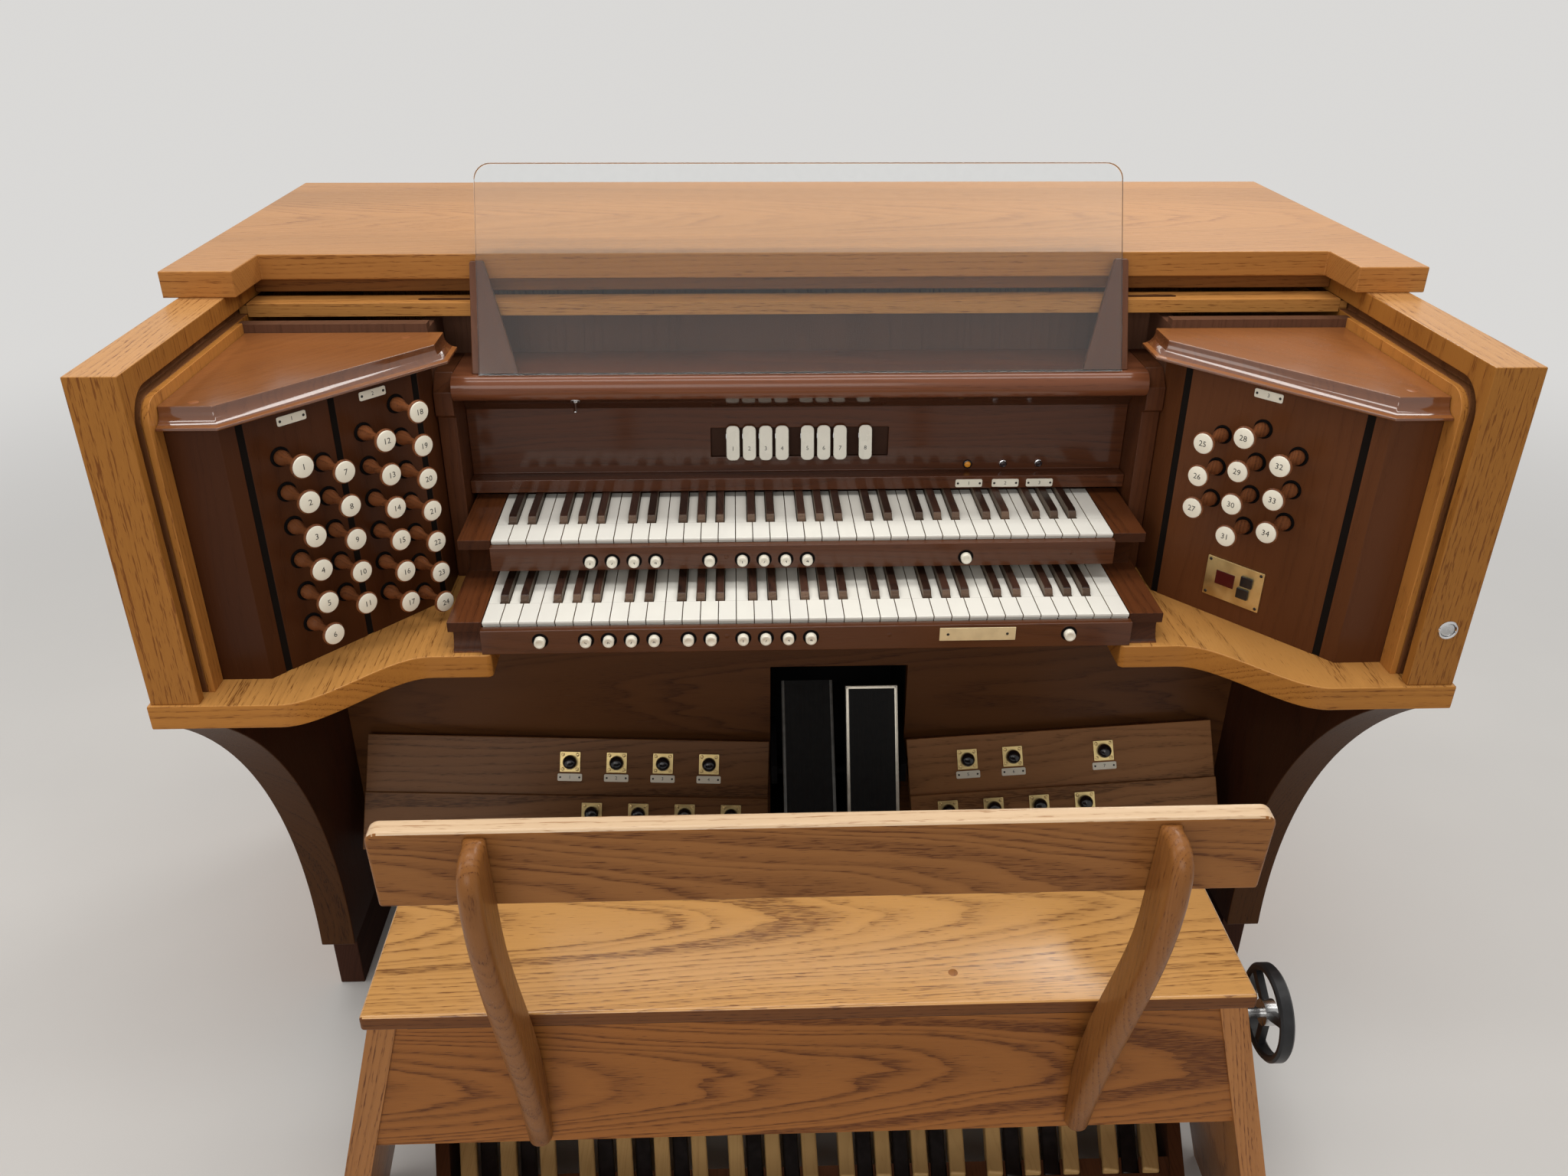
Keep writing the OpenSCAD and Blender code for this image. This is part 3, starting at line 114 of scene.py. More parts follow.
def timber(name, pale, deep, turn=(0, 0, 0), heart=(0.0, -0.12), shift=0.0, ring=0.006, lean=0.03,
           wander=0.010, contrast=0.45, pores=0.6, fibre=0.25, patch=0.12, gloss=0.25, coat=0.25,
           stave=0.0, unlike=0.12, open_grain=0.66):
    """Varnished wood cut from a tree: turn brings the board's length to X and its face to Z,
    and heart is where the tree's centre runs, in the board's own Y and Z."""
    material = bpy.data.materials.new(name)
    material.use_nodes = True
    tree = material.node_tree
    shader = tree.nodes["Principled BSDF"]
    place = wire(tree, "ShaderNodeTexCoord").outputs["Object"]
    angles = [math.radians(a) for a in turn]
    board = wire(tree, "ShaderNodeMapping", {"Vector": place, "Rotation": angles,
                                             "Location": (shift, -heart[0], -heart[1])}).outputs[0]
    cloud = spread(tree, streaks(tree, board, 0.9, 4.0), 0.3, 0.7, 1 - patch, 1 + patch)
    if stave:
        width_axis = wire(tree, "ShaderNodeSeparateXYZ", {0: board}).outputs["Y"]
        number = calc(tree, "FLOOR", calc(tree, "DIVIDE", width_axis, stave))
        chance = wire(tree, "ShaderNodeTexWhiteNoise", {"W": number}, noise_dimensions="1D").outputs
        moved = wire(tree, "ShaderNodeVectorMath", {0: chance["Color"], 1: (3.0, 0.6 * stave, 0.05)},
                     operation="MULTIPLY").outputs[0]
        board = wire(tree, "ShaderNodeVectorMath", {0: board, 1: moved}, operation="ADD").outputs[0]
        cloud = calc(tree, "MULTIPLY", cloud, spread(tree, chance["Value"], 0, 1, 1 - unlike, 1 + unlike))
    axes = wire(tree, "ShaderNodeSeparateXYZ", {0: board}).outputs
    depth = calc(tree, "ADD", axes["Z"], calc(tree, "MULTIPLY", axes["X"], lean))
    radius = calc(tree, "SQRT", calc(tree, "ADD", calc(tree, "MULTIPLY", axes["Y"], axes["Y"]),
                                     calc(tree, "MULTIPLY", depth, depth)))
    slow = calc(tree, "MULTIPLY", calc(tree, "SUBTRACT", streaks(tree, board, 1.6, 8.0), 0.5), 2.4 * wander)
    quick = calc(tree, "MULTIPLY", calc(tree, "SUBTRACT", streaks(tree, board, 7.0, 75.0), 0.5), 0.6 * ring)
    turns = calc(tree, "DIVIDE", calc(tree, "ADD", radius, calc(tree, "ADD", slow, quick)), ring)
    years = wire(tree, "ShaderNodeTexNoise", {"W": calc(tree, "MULTIPLY", turns, 0.42), "Scale": 1.0,
                                              "Detail": 1.0}, noise_dimensions="1D").outputs["Fac"]
    turns = calc(tree, "ADD", turns, spread(tree, years, 0.2, 0.8, -0.7, 0.7))
    band = wire(tree, "ShaderNodeValToRGB", {0: calc(tree, "FRACT", turns)})
    stops = band.color_ramp.elements
    stops[0].position, stops[0].color = 0.0, (1, 1, 1, 1)
    stops[1].position, stops[1].color = 1.0, (0.85, 0.85, 0.85, 1)
    for position, level in ((0.18, 0.72), (0.42, 0.25), (0.78, 0.04), (0.93, 0.3)):
        stops.new(position).color = (level, level, level, 1)
    early = band.outputs["Color"]
    season = wire(tree, "ShaderNodeTexWhiteNoise", {"W": calc(tree, "FLOOR", turns)}, noise_dimensions="1D")
    early = calc(tree, "MULTIPLY", early, spread(tree, season.outputs["Value"], 0, 1, 0.5, 1.0))
    fine = streaks(tree, board, 22.0, 620.0, 3.0, 0.6)
    dash = streaks(tree, board, 52.0, 760.0, 1.5, 0.6)
    needed = spread(tree, early, 0, 1, open_grain + 0.02, open_grain - 0.20)
    hole = calc(tree, "MULTIPLY", calc(tree, "SUBTRACT", dash, needed), 12.0, clamp=True)
    early = calc(tree, "MULTIPLY", early, spread(tree, dash, 0.3, 0.7, 0.6, 1.2))
    tone = calc(tree, "ADD", calc(tree, "MULTIPLY", early, contrast),
                calc(tree, "MULTIPLY", calc(tree, "SUBTRACT", fine, 0.35), fibre))
    tone = calc(tree, "ADD", tone, calc(tree, "MULTIPLY", hole, pores), clamp=True)
    colour = blended(tree, tone, (*pale, 1), (*deep, 1))
    grey = wire(tree, "ShaderNodeCombineXYZ", {0: cloud, 1: cloud, 2: cloud}).outputs[0]
    tree.links.new(blended(tree, 1.0, colour, grey, "MULTIPLY"), shader.inputs["Base Color"])
    tree.links.new(spread(tree, fine, 0.2, 0.8, gloss + 0.1, gloss + 0.25), shader.inputs["Roughness"])
    dip = calc(tree, "ADD", hole, calc(tree, "MULTIPLY", early, 0.2))
    bump = wire(tree, "ShaderNodeBump", {"Height": dip, "Strength": 0.3, "Distance": 0.0004}, invert=True)
    tree.links.new(bump.outputs["Normal"], shader.inputs["Normal"])
    shader.inputs["Specular IOR Level"].default_value = 0.06
    shader.inputs["Coat Weight"].default_value = coat
    tree.links.new(spread(tree, fine, 0.2, 0.8, gloss - 0.05, gloss + 0.05), shader.inputs["Coat Roughness"])
    return material


def settled(piece):
    """Turns a piece with its modifiers into a plain mesh."""
    made = bpy.data.meshes.new_from_object(piece.evaluated_get(bpy.context.evaluated_depsgraph_get()))
    piece.modifiers.clear()
    piece.data = made
    made.name = piece.name
    return piece


arris_from = math.radians(35)


def softened(piece, radius, steps=2):
    """Rounds every arris of a piece, and keeps its flat faces flat."""
    for face in piece.data.polygons:
        face.use_smooth = True
    arris = piece.modifiers.new("arris", "BEVEL")
    arris.width = radius
    arris.segments = steps
    arris.limit_method = "ANGLE"
    arris.angle_limit = arris_from
    arris.miter_outer = "MITER_ARC" if steps > 1 else "MITER_SHARP"
    level = piece.modifiers.new("level", "WEIGHTED_NORMAL")
    level.weight = 100
    return settled(piece)


def bare_shape(node):
    """The mesh of a CAD node with its corners joined and its flat faces made whole."""
    source = nodes[node].data
    shape = bmesh.new()
    for corner in source.vertices:
        shape.verts.new(corner.co)
    shape.verts.ensure_lookup_table()
    for face in source.polygons:
        shape.faces.new([shape.verts[i] for i in face.vertices])
    bmesh.ops.remove_doubles(shape, verts=shape.verts, dist=1e-5)
    bmesh.ops.dissolve_limit(shape, angle_limit=math.radians(0.5), verts=shape.verts, edges=shape.edges)
    return shape


def placed(name, mesh, slot, body="root", *stands_for):
    piece = bpy.data.objects.new(name, mesh)
    scene.collection.objects.link(piece)
    return adopted(piece, slot, body, *stands_for)


def adopted(piece, slot, body="root", *stands_for):
    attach(piece, body)
    if stands_for:
        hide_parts(*stands_for)
    return piece


def eased(node, radius, slot, finishes, pick=None, steps=2, body="root"):
    """A sanded copy of a CAD node, which takes its place; pick says which finish a face gets."""
    shape = bare_shape(node)
    shape.normal_update()
    if pick:
        for face in shape.faces:
            face.material_index = pick(face.calc_center_median(), face.normal)
    mesh = bpy.data.meshes.new("eased_" + node)
    shape.to_mesh(mesh)
    shape.free()
    for finish in finishes:
        mesh.materials.append(finish)
    piece = bpy.data.objects.new("eased_" + node, mesh)
    scene.collection.objects.link(piece)
    return adopted(softened(piece, radius, steps), slot, body, node)


oak_pale = (0.345, 0.142, 0.028)
oak_deep = (0.15, 0.045, 0.009)
upright = (0, 90, 0)
side_face = timber("side_board_oak", oak_pale, oak_deep, upright, heart=(0.2, 0.9), ring=0.007, coat=0.12)
side_edge = timber("side_board_edge_oak", oak_pale, oak_deep, upright, heart=(-0.6, 0.45), contrast=0.16,
                   pores=0.65, ring=0.007, wander=0.004, coat=0.12, open_grain=0.61, fibre=0.4)
# The top gets a paler, more neutral oak than the faces: a painted sheen on the top face.
side_top_sheen = timber("side_board_top_oak", (0.50, 0.25, 0.085), oak_deep, (0, 0, 90), heart=(0.3, 0.4),
                  contrast=0.3, coat=0.4, gloss=0.28)
# The groove gets a darker oak: partly the groove's own stain, partly painted shade in the groove.
groove_stain_and_shade = timber("tambour_groove_oak", (0.16, 0.062, 0.022), (0.07, 0.026, 0.010), upright, gloss=0.5,
                     coat=0.0)
side_low, side_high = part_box("right_side_board")
groove_floor_x = 0.757
groove_off_edge = 0.01
hair = 0.0005


def side_board_face(centre, normal):
    """0 on the flat sides, 1 on the front edge, 2 on the top, which carries a painted sheen, and 3 in the groove,
    darker with stain and painted shade.
    """
    if normal.z > 0.9 and centre.z > side_high.z - hair:
        return 2
    if normal.y < -0.9 and centre.y < side_low.y + hair:
        return 1
    inside = abs(centre.x) < groove_floor_x + hair and centre.y > side_low.y + groove_off_edge
    in_groove = abs(normal.x) < 0.5 or abs(centre.x) > groove_floor_x - hair
    if inside and in_groove and centre.z < side_high.z - groove_off_edge:
        return 3
    return 0


for node in ("left_side_board", "right_side_board"):
    eased(node, 0.0015, "oak", [side_face, side_edge, side_top_sheen, groove_stain_and_shade], side_board_face)

# Tambour tracks
# An oak strip with a rounded outer edge is glued inside each groove and guides the roll top's slats.
# It follows the groove round its bend, so its grain turns from upright to level.
track_wood = timber("track_oak", (0.48, 0.200, 0.044), oak_deep, upright, heart=(-0.3, 0.7), contrast=0.25,
                    ring=0.008, coat=0.2, open_grain=0.68)
eased("tambour_tracks", 0.003, "oak", [track_wood], steps=3)

# Lid
# The lid is a flat oak board with two ears that reach forward over the side boards.
# A fascia strip under its front closes the gap over the parked roll top.
lid_wood = timber("lid_oak", (0.46, 0.220, 0.072), (0.24, 0.095, 0.027), heart=(0.42, 1.02), ring=0.0045,
                  lean=0.05, contrast=0.35, pores=0.5, stave=0.11, unlike=0.05, coat=0.35, open_grain=0.68)
lid_edge = timber("lid_edge_oak", (0.42, 0.180, 0.046), oak_deep, (-90, 0, 0), heart=(0.9, 0.3), ring=0.004,
                  lean=0.01, wander=0.004, contrast=0.3, pores=0.5, coat=0.12, fibre=0.4)
# The fascia gets a much darker oak than the lid's edge: painted shade under the lid's front.
fascia_shade_wood = timber("fascia_oak", (0.20, 0.080, 0.022), (0.08, 0.026, 0.007), (-90, 0, 0), heart=(0.9, 0.3),
                     ring=0.004, wander=0.004, contrast=0.3, pores=0.5, coat=0.05)
fascia_depth = 0.016
fascia_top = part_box("lid")[0].z + fascia_depth


def lid_face(centre, normal):
    if centre.z < fascia_top:
        return 2
    return int(abs(normal.z) < 0.7)


eased("lid", 0.002, "oak", [lid_wood, lid_edge, fascia_shade_wood], lid_face)

# Roll top rail
# The leading slat of the open roll top is a heavier oak rail with two finger slots in its top.
# Its ends run in the grooves of the side boards.
rail_wood = timber("roll_top_oak", (0.50, 0.23, 0.062), (0.18, 0.062, 0.014), heart=(0.18, 1.11), ring=0.003,
                   lean=0.02, contrast=0.4, coat=0.2)
# The finger slots get a much darker oak than the rail: painted shade inside the slots.
slot_shade = timber("finger_slot_oak", (0.13, 0.050, 0.020), (0.06, 0.022, 0.009), ring=0.003, gloss=0.5, coat=0.0)
rail_low, rail_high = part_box("roll_top_rail")
slot_depth = 0.006
slot_half = 0.0065


def rail_face(centre, normal):
    sunk = rail_high.z - slot_depth - hair < centre.z < rail_high.z - 0.0003
    return int(sunk and abs(centre.y - (rail_low.y + rail_high.y) / 2) < slot_half)


eased("roll_top_rail", 0.0015, "oak", [rail_wood, slot_shade], rail_face)

# Back boards and inner wall
# The back of the case is closed with upright oak boards, edge to edge, screwed from behind.
# Inside, a dark stained wall stands behind the stop jambs and the music desk.
back_wood = timber("back_board_oak", (0.42, 0.18, 0.050), (0.16, 0.054, 0.013), (90, 0, 90), heart=(0, 0.5),
                   stave=0.124, patch=0.18)
eased("back_board", 0.001, "oak", [back_wood])
stain_deep = (0.050, 0.016, 0.0065)
# The wall's colour is paler than its dark stain alone: painted light where little lamp light reaches inside the case.
lit_wall_wood = timber("inner_wall_stain", (0.120, 0.055, 0.032), (0.060, 0.026, 0.015), (90, 0, 90), ring=0.009,
                   contrast=0.4, pores=0.2, stave=0.16, unlike=0.06, coat=0.1)
eased("inner_wall", 0.001, "walnut", [lit_wall_wood])

# Key shelf
# One wide shelf carries the case and the keyboards; its front edge sweeps back in an S beside the keys.
# The top is veneered with the grain from front to back, and a band of oak is bent round the edge.
shelf_wood = timber("shelf_oak", (0.62, 0.300, 0.082), oak_deep, (0, 0, 90), heart=(0.66, 0.47), ring=0.009,
                    contrast=0.3, pores=0.5, stave=0.13, unlike=0.06, coat=0.3, fibre=0.3)
band_wood = timber("shelf_band_oak", (0.44, 0.185, 0.038), oak_deep, (-90, 0, 0), heart=(0.4, 0.5), ring=0.009,
                   contrast=0.4, lean=0.0, wander=0.004, pores=0.5, coat=0.12, fibre=0.35)
eased("key_shelf", 0.002, "oak", [shelf_wood, band_wood], lambda centre, normal: int(abs(normal.z) < 0.7))

# Legs
# A thick oak leg under each side board has a hollow curve cut into its front edge.
# Its front edge is painted dark as painted shade under the shelf, its inner face is darker, and it stands on a foot
# block that is set back and painted dark as painted shade.
leg_wood = timber("leg_oak", (0.42, 0.175, 0.046), oak_deep, upright, heart=(0.1, 0.86), ring=0.007, coat=0.1)
# The front edge's very dark oak is painted shade under the shelf.
painted_shade_leg_front = timber("leg_edge_oak", (0.070, 0.027, 0.008), (0.030, 0.011, 0.004), upright, heart=(-0.5, 0.5),
                  contrast=0.3, pores=0.7, coat=0.06, gloss=0.3)
leg_inside = timber("leg_inner_stain", (0.060, 0.022, 0.011), (0.030, 0.011, 0.006), upright, contrast=0.4,
                    pores=0.3, coat=0.08)
# The foot block's dark colour is painted shade under the leg.
painted_shade_foot = timber("foot_block_stain", (0.050, 0.020, 0.012), (0.025, 0.010, 0.007), (0, 0, 90), pores=0.2,
                   gloss=0.5, coat=0.0)
foot_top = 0.130


def leg_face(centre, normal):
    if centre.z < foot_top:
        return 3
    if abs(normal.x) > 0.9:
        return 2 if normal.x * centre.x < 0 else 0
    return int(normal.y < 0.5)


for node in ("left_leg", "right_leg"):
    eased(node, 0.002, "oak", [leg_wood, painted_shade_leg_front, leg_inside, painted_shade_foot], leg_face)

# Knee panel
# A plain dark stained panel closes the case behind the player's knees.
# It is cut out in the middle for the expression shoes.
knee_wood = timber("knee_panel_stain", (0.105, 0.041, 0.014), (0.034, 0.012, 0.006), (-90, 0, 0),
                   heart=(0.50, 0.10), contrast=0.5, pores=0.25, coat=0.15)
eased("knee_panel", 0.001, "dark_oak", [knee_wood])


# Shoe well and expression shoes
# The shoes are two long pedals on one shaft in a black painted well; they stay where the foot leaves them.
# Each has a ribbed black rubber tread held by a folded metal edge, bright on the right shoe.
def coated(name, colour, rough, metallic=0.0, mottle=0.06, scale=90.0, relief=0.0002, uneven=0.08, shine=0.5):
    """Paint, plastic, rubber or metal: an even colour, a little uneven in tone, gloss and surface."""
    material = bpy.data.materials.new(name)
    material.use_nodes = True
    tree = material.node_tree
    shader = tree.nodes["Principled BSDF"]
    place = wire(tree, "ShaderNodeTexCoord").outputs["Object"]
    cloud = wire(tree, "ShaderNodeTexNoise", {"Vector": place, "Scale": scale, "Detail": 4.0}).outputs["Fac"]
    grain = wire(tree, "ShaderNodeTexNoise", {"Vector": place, "Scale": 12 * scale, "Detail": 2.0}).outputs["Fac"]
    dark = tuple(c * (1 - mottle) for c in colour) + (1,)
    light = tuple(min(1, c * (1 + mottle)) for c in colour) + (1,)
    tree.links.new(blended(tree, spread(tree, cloud, 0.35, 0.65), dark, light), shader.inputs["Base Color"])
    tree.links.new(spread(tree, cloud, 0.3, 0.7, rough - uneven / 2, rough + uneven / 2),
                   shader.inputs["Roughness"])
    bump = wire(tree, "ShaderNodeBump", {"Height": grain, "Strength": 0.2, "Distance": relief})
    tree.links.new(bump.outputs["Normal"], shader.inputs["Normal"])
    shader.inputs["Metallic"].default_value = metallic
    shader.inputs["Specular IOR Level"].default_value = shine
    return material


well_paint = coated("well_paint", (0.005, 0.005, 0.006), 0.65, shine=0.1)
tread_rubber = coated("tread_rubber", (0.009, 0.009, 0.009), 0.6, mottle=0.2, relief=0.0006, shine=0.12)
dull_metal = coated("dull_metal", (0.10, 0.10, 0.095), 0.45, 0.9, mottle=0.15)
bright_metal = coated("bright_metal", (0.50, 0.47, 0.40), 0.38, 1.0, mottle=0.1)
eased("shoe_well", 0.001, "black_rubber", [well_paint])
shoe_length = 0.286
shoe_plate = 0.014
shoe_to_shaft = 0.060
trim_w = 0.004
trim_t = 0.0012
let_in = 0.0002
rib_pitch = 0.008
rib_w = 0.004
rib_t = 0.0008
rib_short = 0.008


def boxes(name, cells, turned, ease, finish):
    """Square strips, each given by its lowest and highest corner, joined in one eased mesh."""
    shape = bmesh.new()
    for low, high in cells:
        size = Vector(high) - Vector(low)
        middle = (Vector(high) + Vector(low)) / 2
        bmesh.ops.create_cube(shape, size=1, matrix=turned @ Matrix.Translation(middle)
                              @ Matrix.Diagonal((*size, 1)))
    mesh = bpy.data.meshes.new(name)
    shape.to_mesh(mesh)
    shape.free()
    mesh.materials.append(finish)
    piece = bpy.data.objects.new(name, mesh)
    scene.collection.objects.link(piece)
    return softened(piece, ease, 1)


def shoe_edges(side, lean, finish, top_edge):
    """The folded edge strips on a shoe's tread, set out in the shoe's own frame about its shaft."""
    node = side + "_expression_shoe"
    joint = next(j for j in frame["joints"] if j["child"] == side + "_shoe")
    low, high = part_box(node)
    shaft = Vector(joint["pos_m"])
    turned = Matrix.Translation((0, shaft.y, shaft.z)) @ Matrix.Rotation(-lean, 4, "X")
    half = shoe_length / 2
    face = -shoe_to_shaft
    cells = []
    for x0, x1 in ((low.x, low.x + trim_w), (high.x - trim_w, high.x)):
        cells.append(((x0, face - trim_t, -half), (x1, face + let_in, half)))
    for x0, x1 in ((low.x - trim_t, low.x + let_in), (high.x - let_in, high.x + trim_t)):
        cells.append(((x0, face - trim_t, -half), (x1, face + shoe_plate, half)))
    if top_edge:
        cells.append(((low.x - trim_t, face - trim_t, half - let_in),
                      (high.x + trim_t, face + shoe_plate, half + trim_t)))
        cells.append(((low.x, face - trim_t, half - trim_w), (high.x, face + let_in, half)))
    adopted(boxes(side + "_shoe_trim", cells, turned, 0.0004, finish), "dark_metal", side + "_shoe")
    ribs = []
    for i in range(int((high.x - low.x - 4 * trim_w) / rib_pitch)):
        x = low.x + 2.2 * trim_w + i * rib_pitch
        ribs.append(((x, face - rib_t, -half + rib_short), (x + rib_w, face + let_in, half - rib_short)))
    adopted(boxes(side + "_shoe_ribs", ribs, turned, 0.0003, tread_rubber), "black_rubber", side + "_shoe")


for side, lean, finish, top_edge in (("left", 44, dull_metal, False), ("right", 30, bright_metal, True)):
    eased(side + "_expression_shoe", 0.0015, "black_rubber", [tread_rubber], body=side + "_shoe")
    shoe_edges(side, math.radians(lean), finish, top_edge)


# Toe boards
# Two tiers of sloping boards carry the toe studs each side of the shoes, stained a greyish brown.
# The lower board stands a little in front of the upper one.
toe_wood = timber("toe_board_stain", (0.190, 0.088, 0.036), (0.052, 0.022, 0.010), (-120, 0, 0),
                  heart=(0.30, -0.15), ring=0.011, wander=0.03, lean=0.04, contrast=0.5, pores=0.3, gloss=0.3,
                  coat=0.1)
toe_right = timber("right_toe_board_stain", (0.340, 0.160, 0.066), (0.080, 0.036, 0.016), (-120, 0, 0),
                   heart=(0.36, -0.15), ring=0.011, wander=0.03, lean=0.04, contrast=0.45, pores=0.3, gloss=0.3,
                   coat=0.1)
eased("toe_boards", 0.0015, "dark_oak", [toe_wood, toe_right], lambda centre, normal: int(centre.x > 0))


# Toe studs
# Each stud is a black dome on a square brass plate that is held by four small brass screws.
# An engraved ivory label, also screwed on, sits under each stud of the upper rows.
def solids(node):
    """The corners of each separate solid of a CAD node."""
    shape = bare_shape(node)
    left = set(shape.verts)
    groups = []
    while left:
        first = next(iter(left))
        group = {first}
        edge = [first]
        while edge:
            corner = edge.pop()
            for link in corner.link_edges:
                other = link.other_vert(corner)
                if other not in group:
                    group.add(other)
                    edge.append(other)
        left -= group
        groups.append([corner.co.copy() for corner in group])
    shape.free()
    return groups


def foot_of(points, out, top=up):
    """The middle of a solid's foot, seen along the way it stands out."""
    sideways = out.cross(top).normalized()
    over = sideways.cross(out).normalized()
    spans = [[p.dot(axis) for p in points] for axis in (sideways, over, out)]
    middle = (min(spans[0]) + max(spans[0])) / 2 * sideways + (min(spans[1]) + max(spans[1])) / 2 * over
    return middle + min(spans[2]) * out


def new_tree(name, sizes):
    """A shape tree with these named inputs, and the sockets that bring them in."""
    tree = bpy.data.node_groups.new(name, "GeometryNodeTree")
    face = tree.interface
    face.new_socket("Places", in_out="INPUT", socket_type="NodeSocketGeometry")
    kinds = {float: "NodeSocketFloat", int: "NodeSocketInt"}
    for label, value in sizes.items():
        face.new_socket(label, in_out="INPUT", socket_type=kinds[type(value)]).default_value = value
    face.new_socket("Material", in_out="INPUT", socket_type="NodeSocketMaterial")
    face.new_socket("Geometry", in_out="OUTPUT", socket_type="NodeSocketGeometry")
    return tree, tree.nodes.new("NodeGroupInput").outputs


def set_out(tree, given, shape, spin=False):
    """Ends a tree: its shape at every place, facing and upright as the places say, made real."""
    facing = wire(tree, "GeometryNodeInputNamedAttribute", {"Name": "facing"}, data_type="FLOAT_VECTOR")
    above = wire(tree, "GeometryNodeInputNamedAttribute", {"Name": "above"}, data_type="FLOAT_VECTOR")
    turn = wire(tree, "FunctionNodeAxesToRotation", {0: facing.outputs[0], 1: above.outputs[0]},
                primary_axis="Z", secondary_axis="Y")
    many = wire(tree, "GeometryNodeInstanceOnPoints", {"Points": given["Places"], "Instance": shape,
                                                       "Rotation": turn.outputs[0]}).outputs[0]
    if spin:
        angle = wire(tree, "FunctionNodeRandomValue", {2: 0.0, 3: math.pi, "Seed": 7}, data_type="FLOAT")
        about = wire(tree, "FunctionNodeAxisAngleToRotation", {"Axis": up, "Angle": angle.outputs[1]})
        many = wire(tree, "GeometryNodeRotateInstances", {"Instances": many, "Rotation": about.outputs[0],
                                                          "Local Space": True}).outputs[0]
    real = wire(tree, "GeometryNodeRealizeInstances", {"Geometry": many}).outputs[0]
    painted = wire(tree, "GeometryNodeSetMaterial", {"Geometry": real, "Material": given["Material"]})
    wire(tree, "NodeGroupOutput", {0: painted.outputs[0]})
    return tree


def made_from(tree, name, places, finish, slot, stands_for=(), ease=0.0, **sizes):
    """One mesh of a tree's shapes; a place is a point, the way it faces and the way that is up."""
    mesh = bpy.data.meshes.new(name)
    mesh.from_pydata([place[0] for place in places], [], [])
    for index, label in ((1, "facing"), (2, "above")):
        values = mesh.attributes.new(label, "FLOAT_VECTOR", "POINT")
        for item, place in zip(values.data, places):
            item.vector = place[index]
    piece = bpy.data.objects.new(name, mesh)
    scene.collection.objects.link(piece)
    modifier = piece.modifiers.new(name, "NODES")
    modifier.node_group = tree
    sizes["Material"] = finish
    for item in tree.interface.items_tree:
        if item.in_out == "INPUT" and item.name in sizes:
            modifier[item.identifier] = sizes[item.name]
    settled(piece)
    for label in ("facing", "above"):
        if label in piece.data.attributes:
            piece.data.attributes.remove(piece.data.attributes[label])
    if ease:
        softened(piece, ease)
    else:
        piece.data.shade_smooth()
        piece.data.set_sharp_from_angle(angle=math.radians(32))
    return adopted(piece, slot, "root", *stands_for)


def lathe(tree, radius, height, section, sides, rings):
    """A turned shape along +Z from a list of (radius, height) shares, smooth if rings outnumber them."""
    smooth = rings > len(section) - 1
    drum = wire(tree, "GeometryNodeMeshCylinder", {"Vertices": sides, "Side Segments": rings, "Radius": 1.0,
                                                   "Depth": 1.0}).outputs["Mesh"]
    here = wire(tree, "GeometryNodeInputPosition").outputs[0]
    axes = wire(tree, "ShaderNodeSeparateXYZ", {0: here}).outputs
    share = calc(tree, "ADD", axes["Z"], 0.5, clamp=True)
    curves = []
    for part in (0, 1):
        curve = wire(tree, "ShaderNodeFloatCurve", {"Value": share})
        line = curve.mapping.curves[0]
        last = len(section) - 1
        for i, point in enumerate(section):
            if i in (0, last):
                knot = line.points[0 if i == 0 else -1]
                knot.location = (i / last, point[part])
            else:
                knot = line.points.new(i / last, point[part])
        for knot in line.points:
            knot.handle_type = "AUTO_CLAMPED" if smooth else "VECTOR"
        curve.mapping.update()
        curves.append(curve.outputs[0])
    wide = calc(tree, "MULTIPLY", curves[0], radius)
    tall = calc(tree, "MULTIPLY", curves[1], height)
    point = wire(tree, "ShaderNodeCombineXYZ", {0: calc(tree, "MULTIPLY", axes["X"], wide),
                                                1: calc(tree, "MULTIPLY", axes["Y"], wide), 2: tall})
    shape = wire(tree, "GeometryNodeSetPosition", {"Geometry": drum, "Position": point.outputs[0]}).outputs[0]
    return wire(tree, "GeometryNodeMergeByDistance", {"Geometry": shape, "Distance": 1e-6}).outputs[0]


def turned_tree(name, section, sides=32, rings=None):
    tree, given = new_tree(name, {"Radius": 0.01, "Height": 0.01, "Sides": sides})
    shape = lathe(tree, given["Radius"], given["Height"], section, given["Sides"], rings or len(section) - 1)
    return set_out(tree, given, shape)


def plate_tree(name):
    """Flat plates with rounded corners, their backs at their places."""
    tree, given = new_tree(name, {"Width": 0.04, "Height": 0.012, "Thickness": 0.0012, "Corner": 0.002})
    outline = wire(tree, "GeometryNodeCurvePrimitiveQuadrilateral", {"Width": given["Width"],
                                                                    "Height": given["Height"]}).outputs[0]
    outline = wire(tree, "GeometryNodeFilletCurve", {"Curve": outline, "Radius": given["Corner"], "Count": 4},
                   mode="POLY").outputs[0]
    face = wire(tree, "GeometryNodeFillCurve", {"Curve": outline}, mode="NGONS").outputs[0]
    raised = wire(tree, "GeometryNodeExtrudeMesh", {"Mesh": face, "Offset Scale": given["Thickness"],
                                                    "Individual": False}).outputs[0]
    back = wire(tree, "GeometryNodeFlipFaces", {"Mesh": face}).outputs[0]
    both = tree.nodes.new("GeometryNodeJoinGeometry")
    tree.links.new(raised, both.inputs[0])
    tree.links.new(back, both.inputs[0])
    shape = wire(tree, "GeometryNodeMergeByDistance", {"Geometry": both.outputs[0], "Distance": 1e-6}).outputs[0]
    return set_out(tree, given, shape)


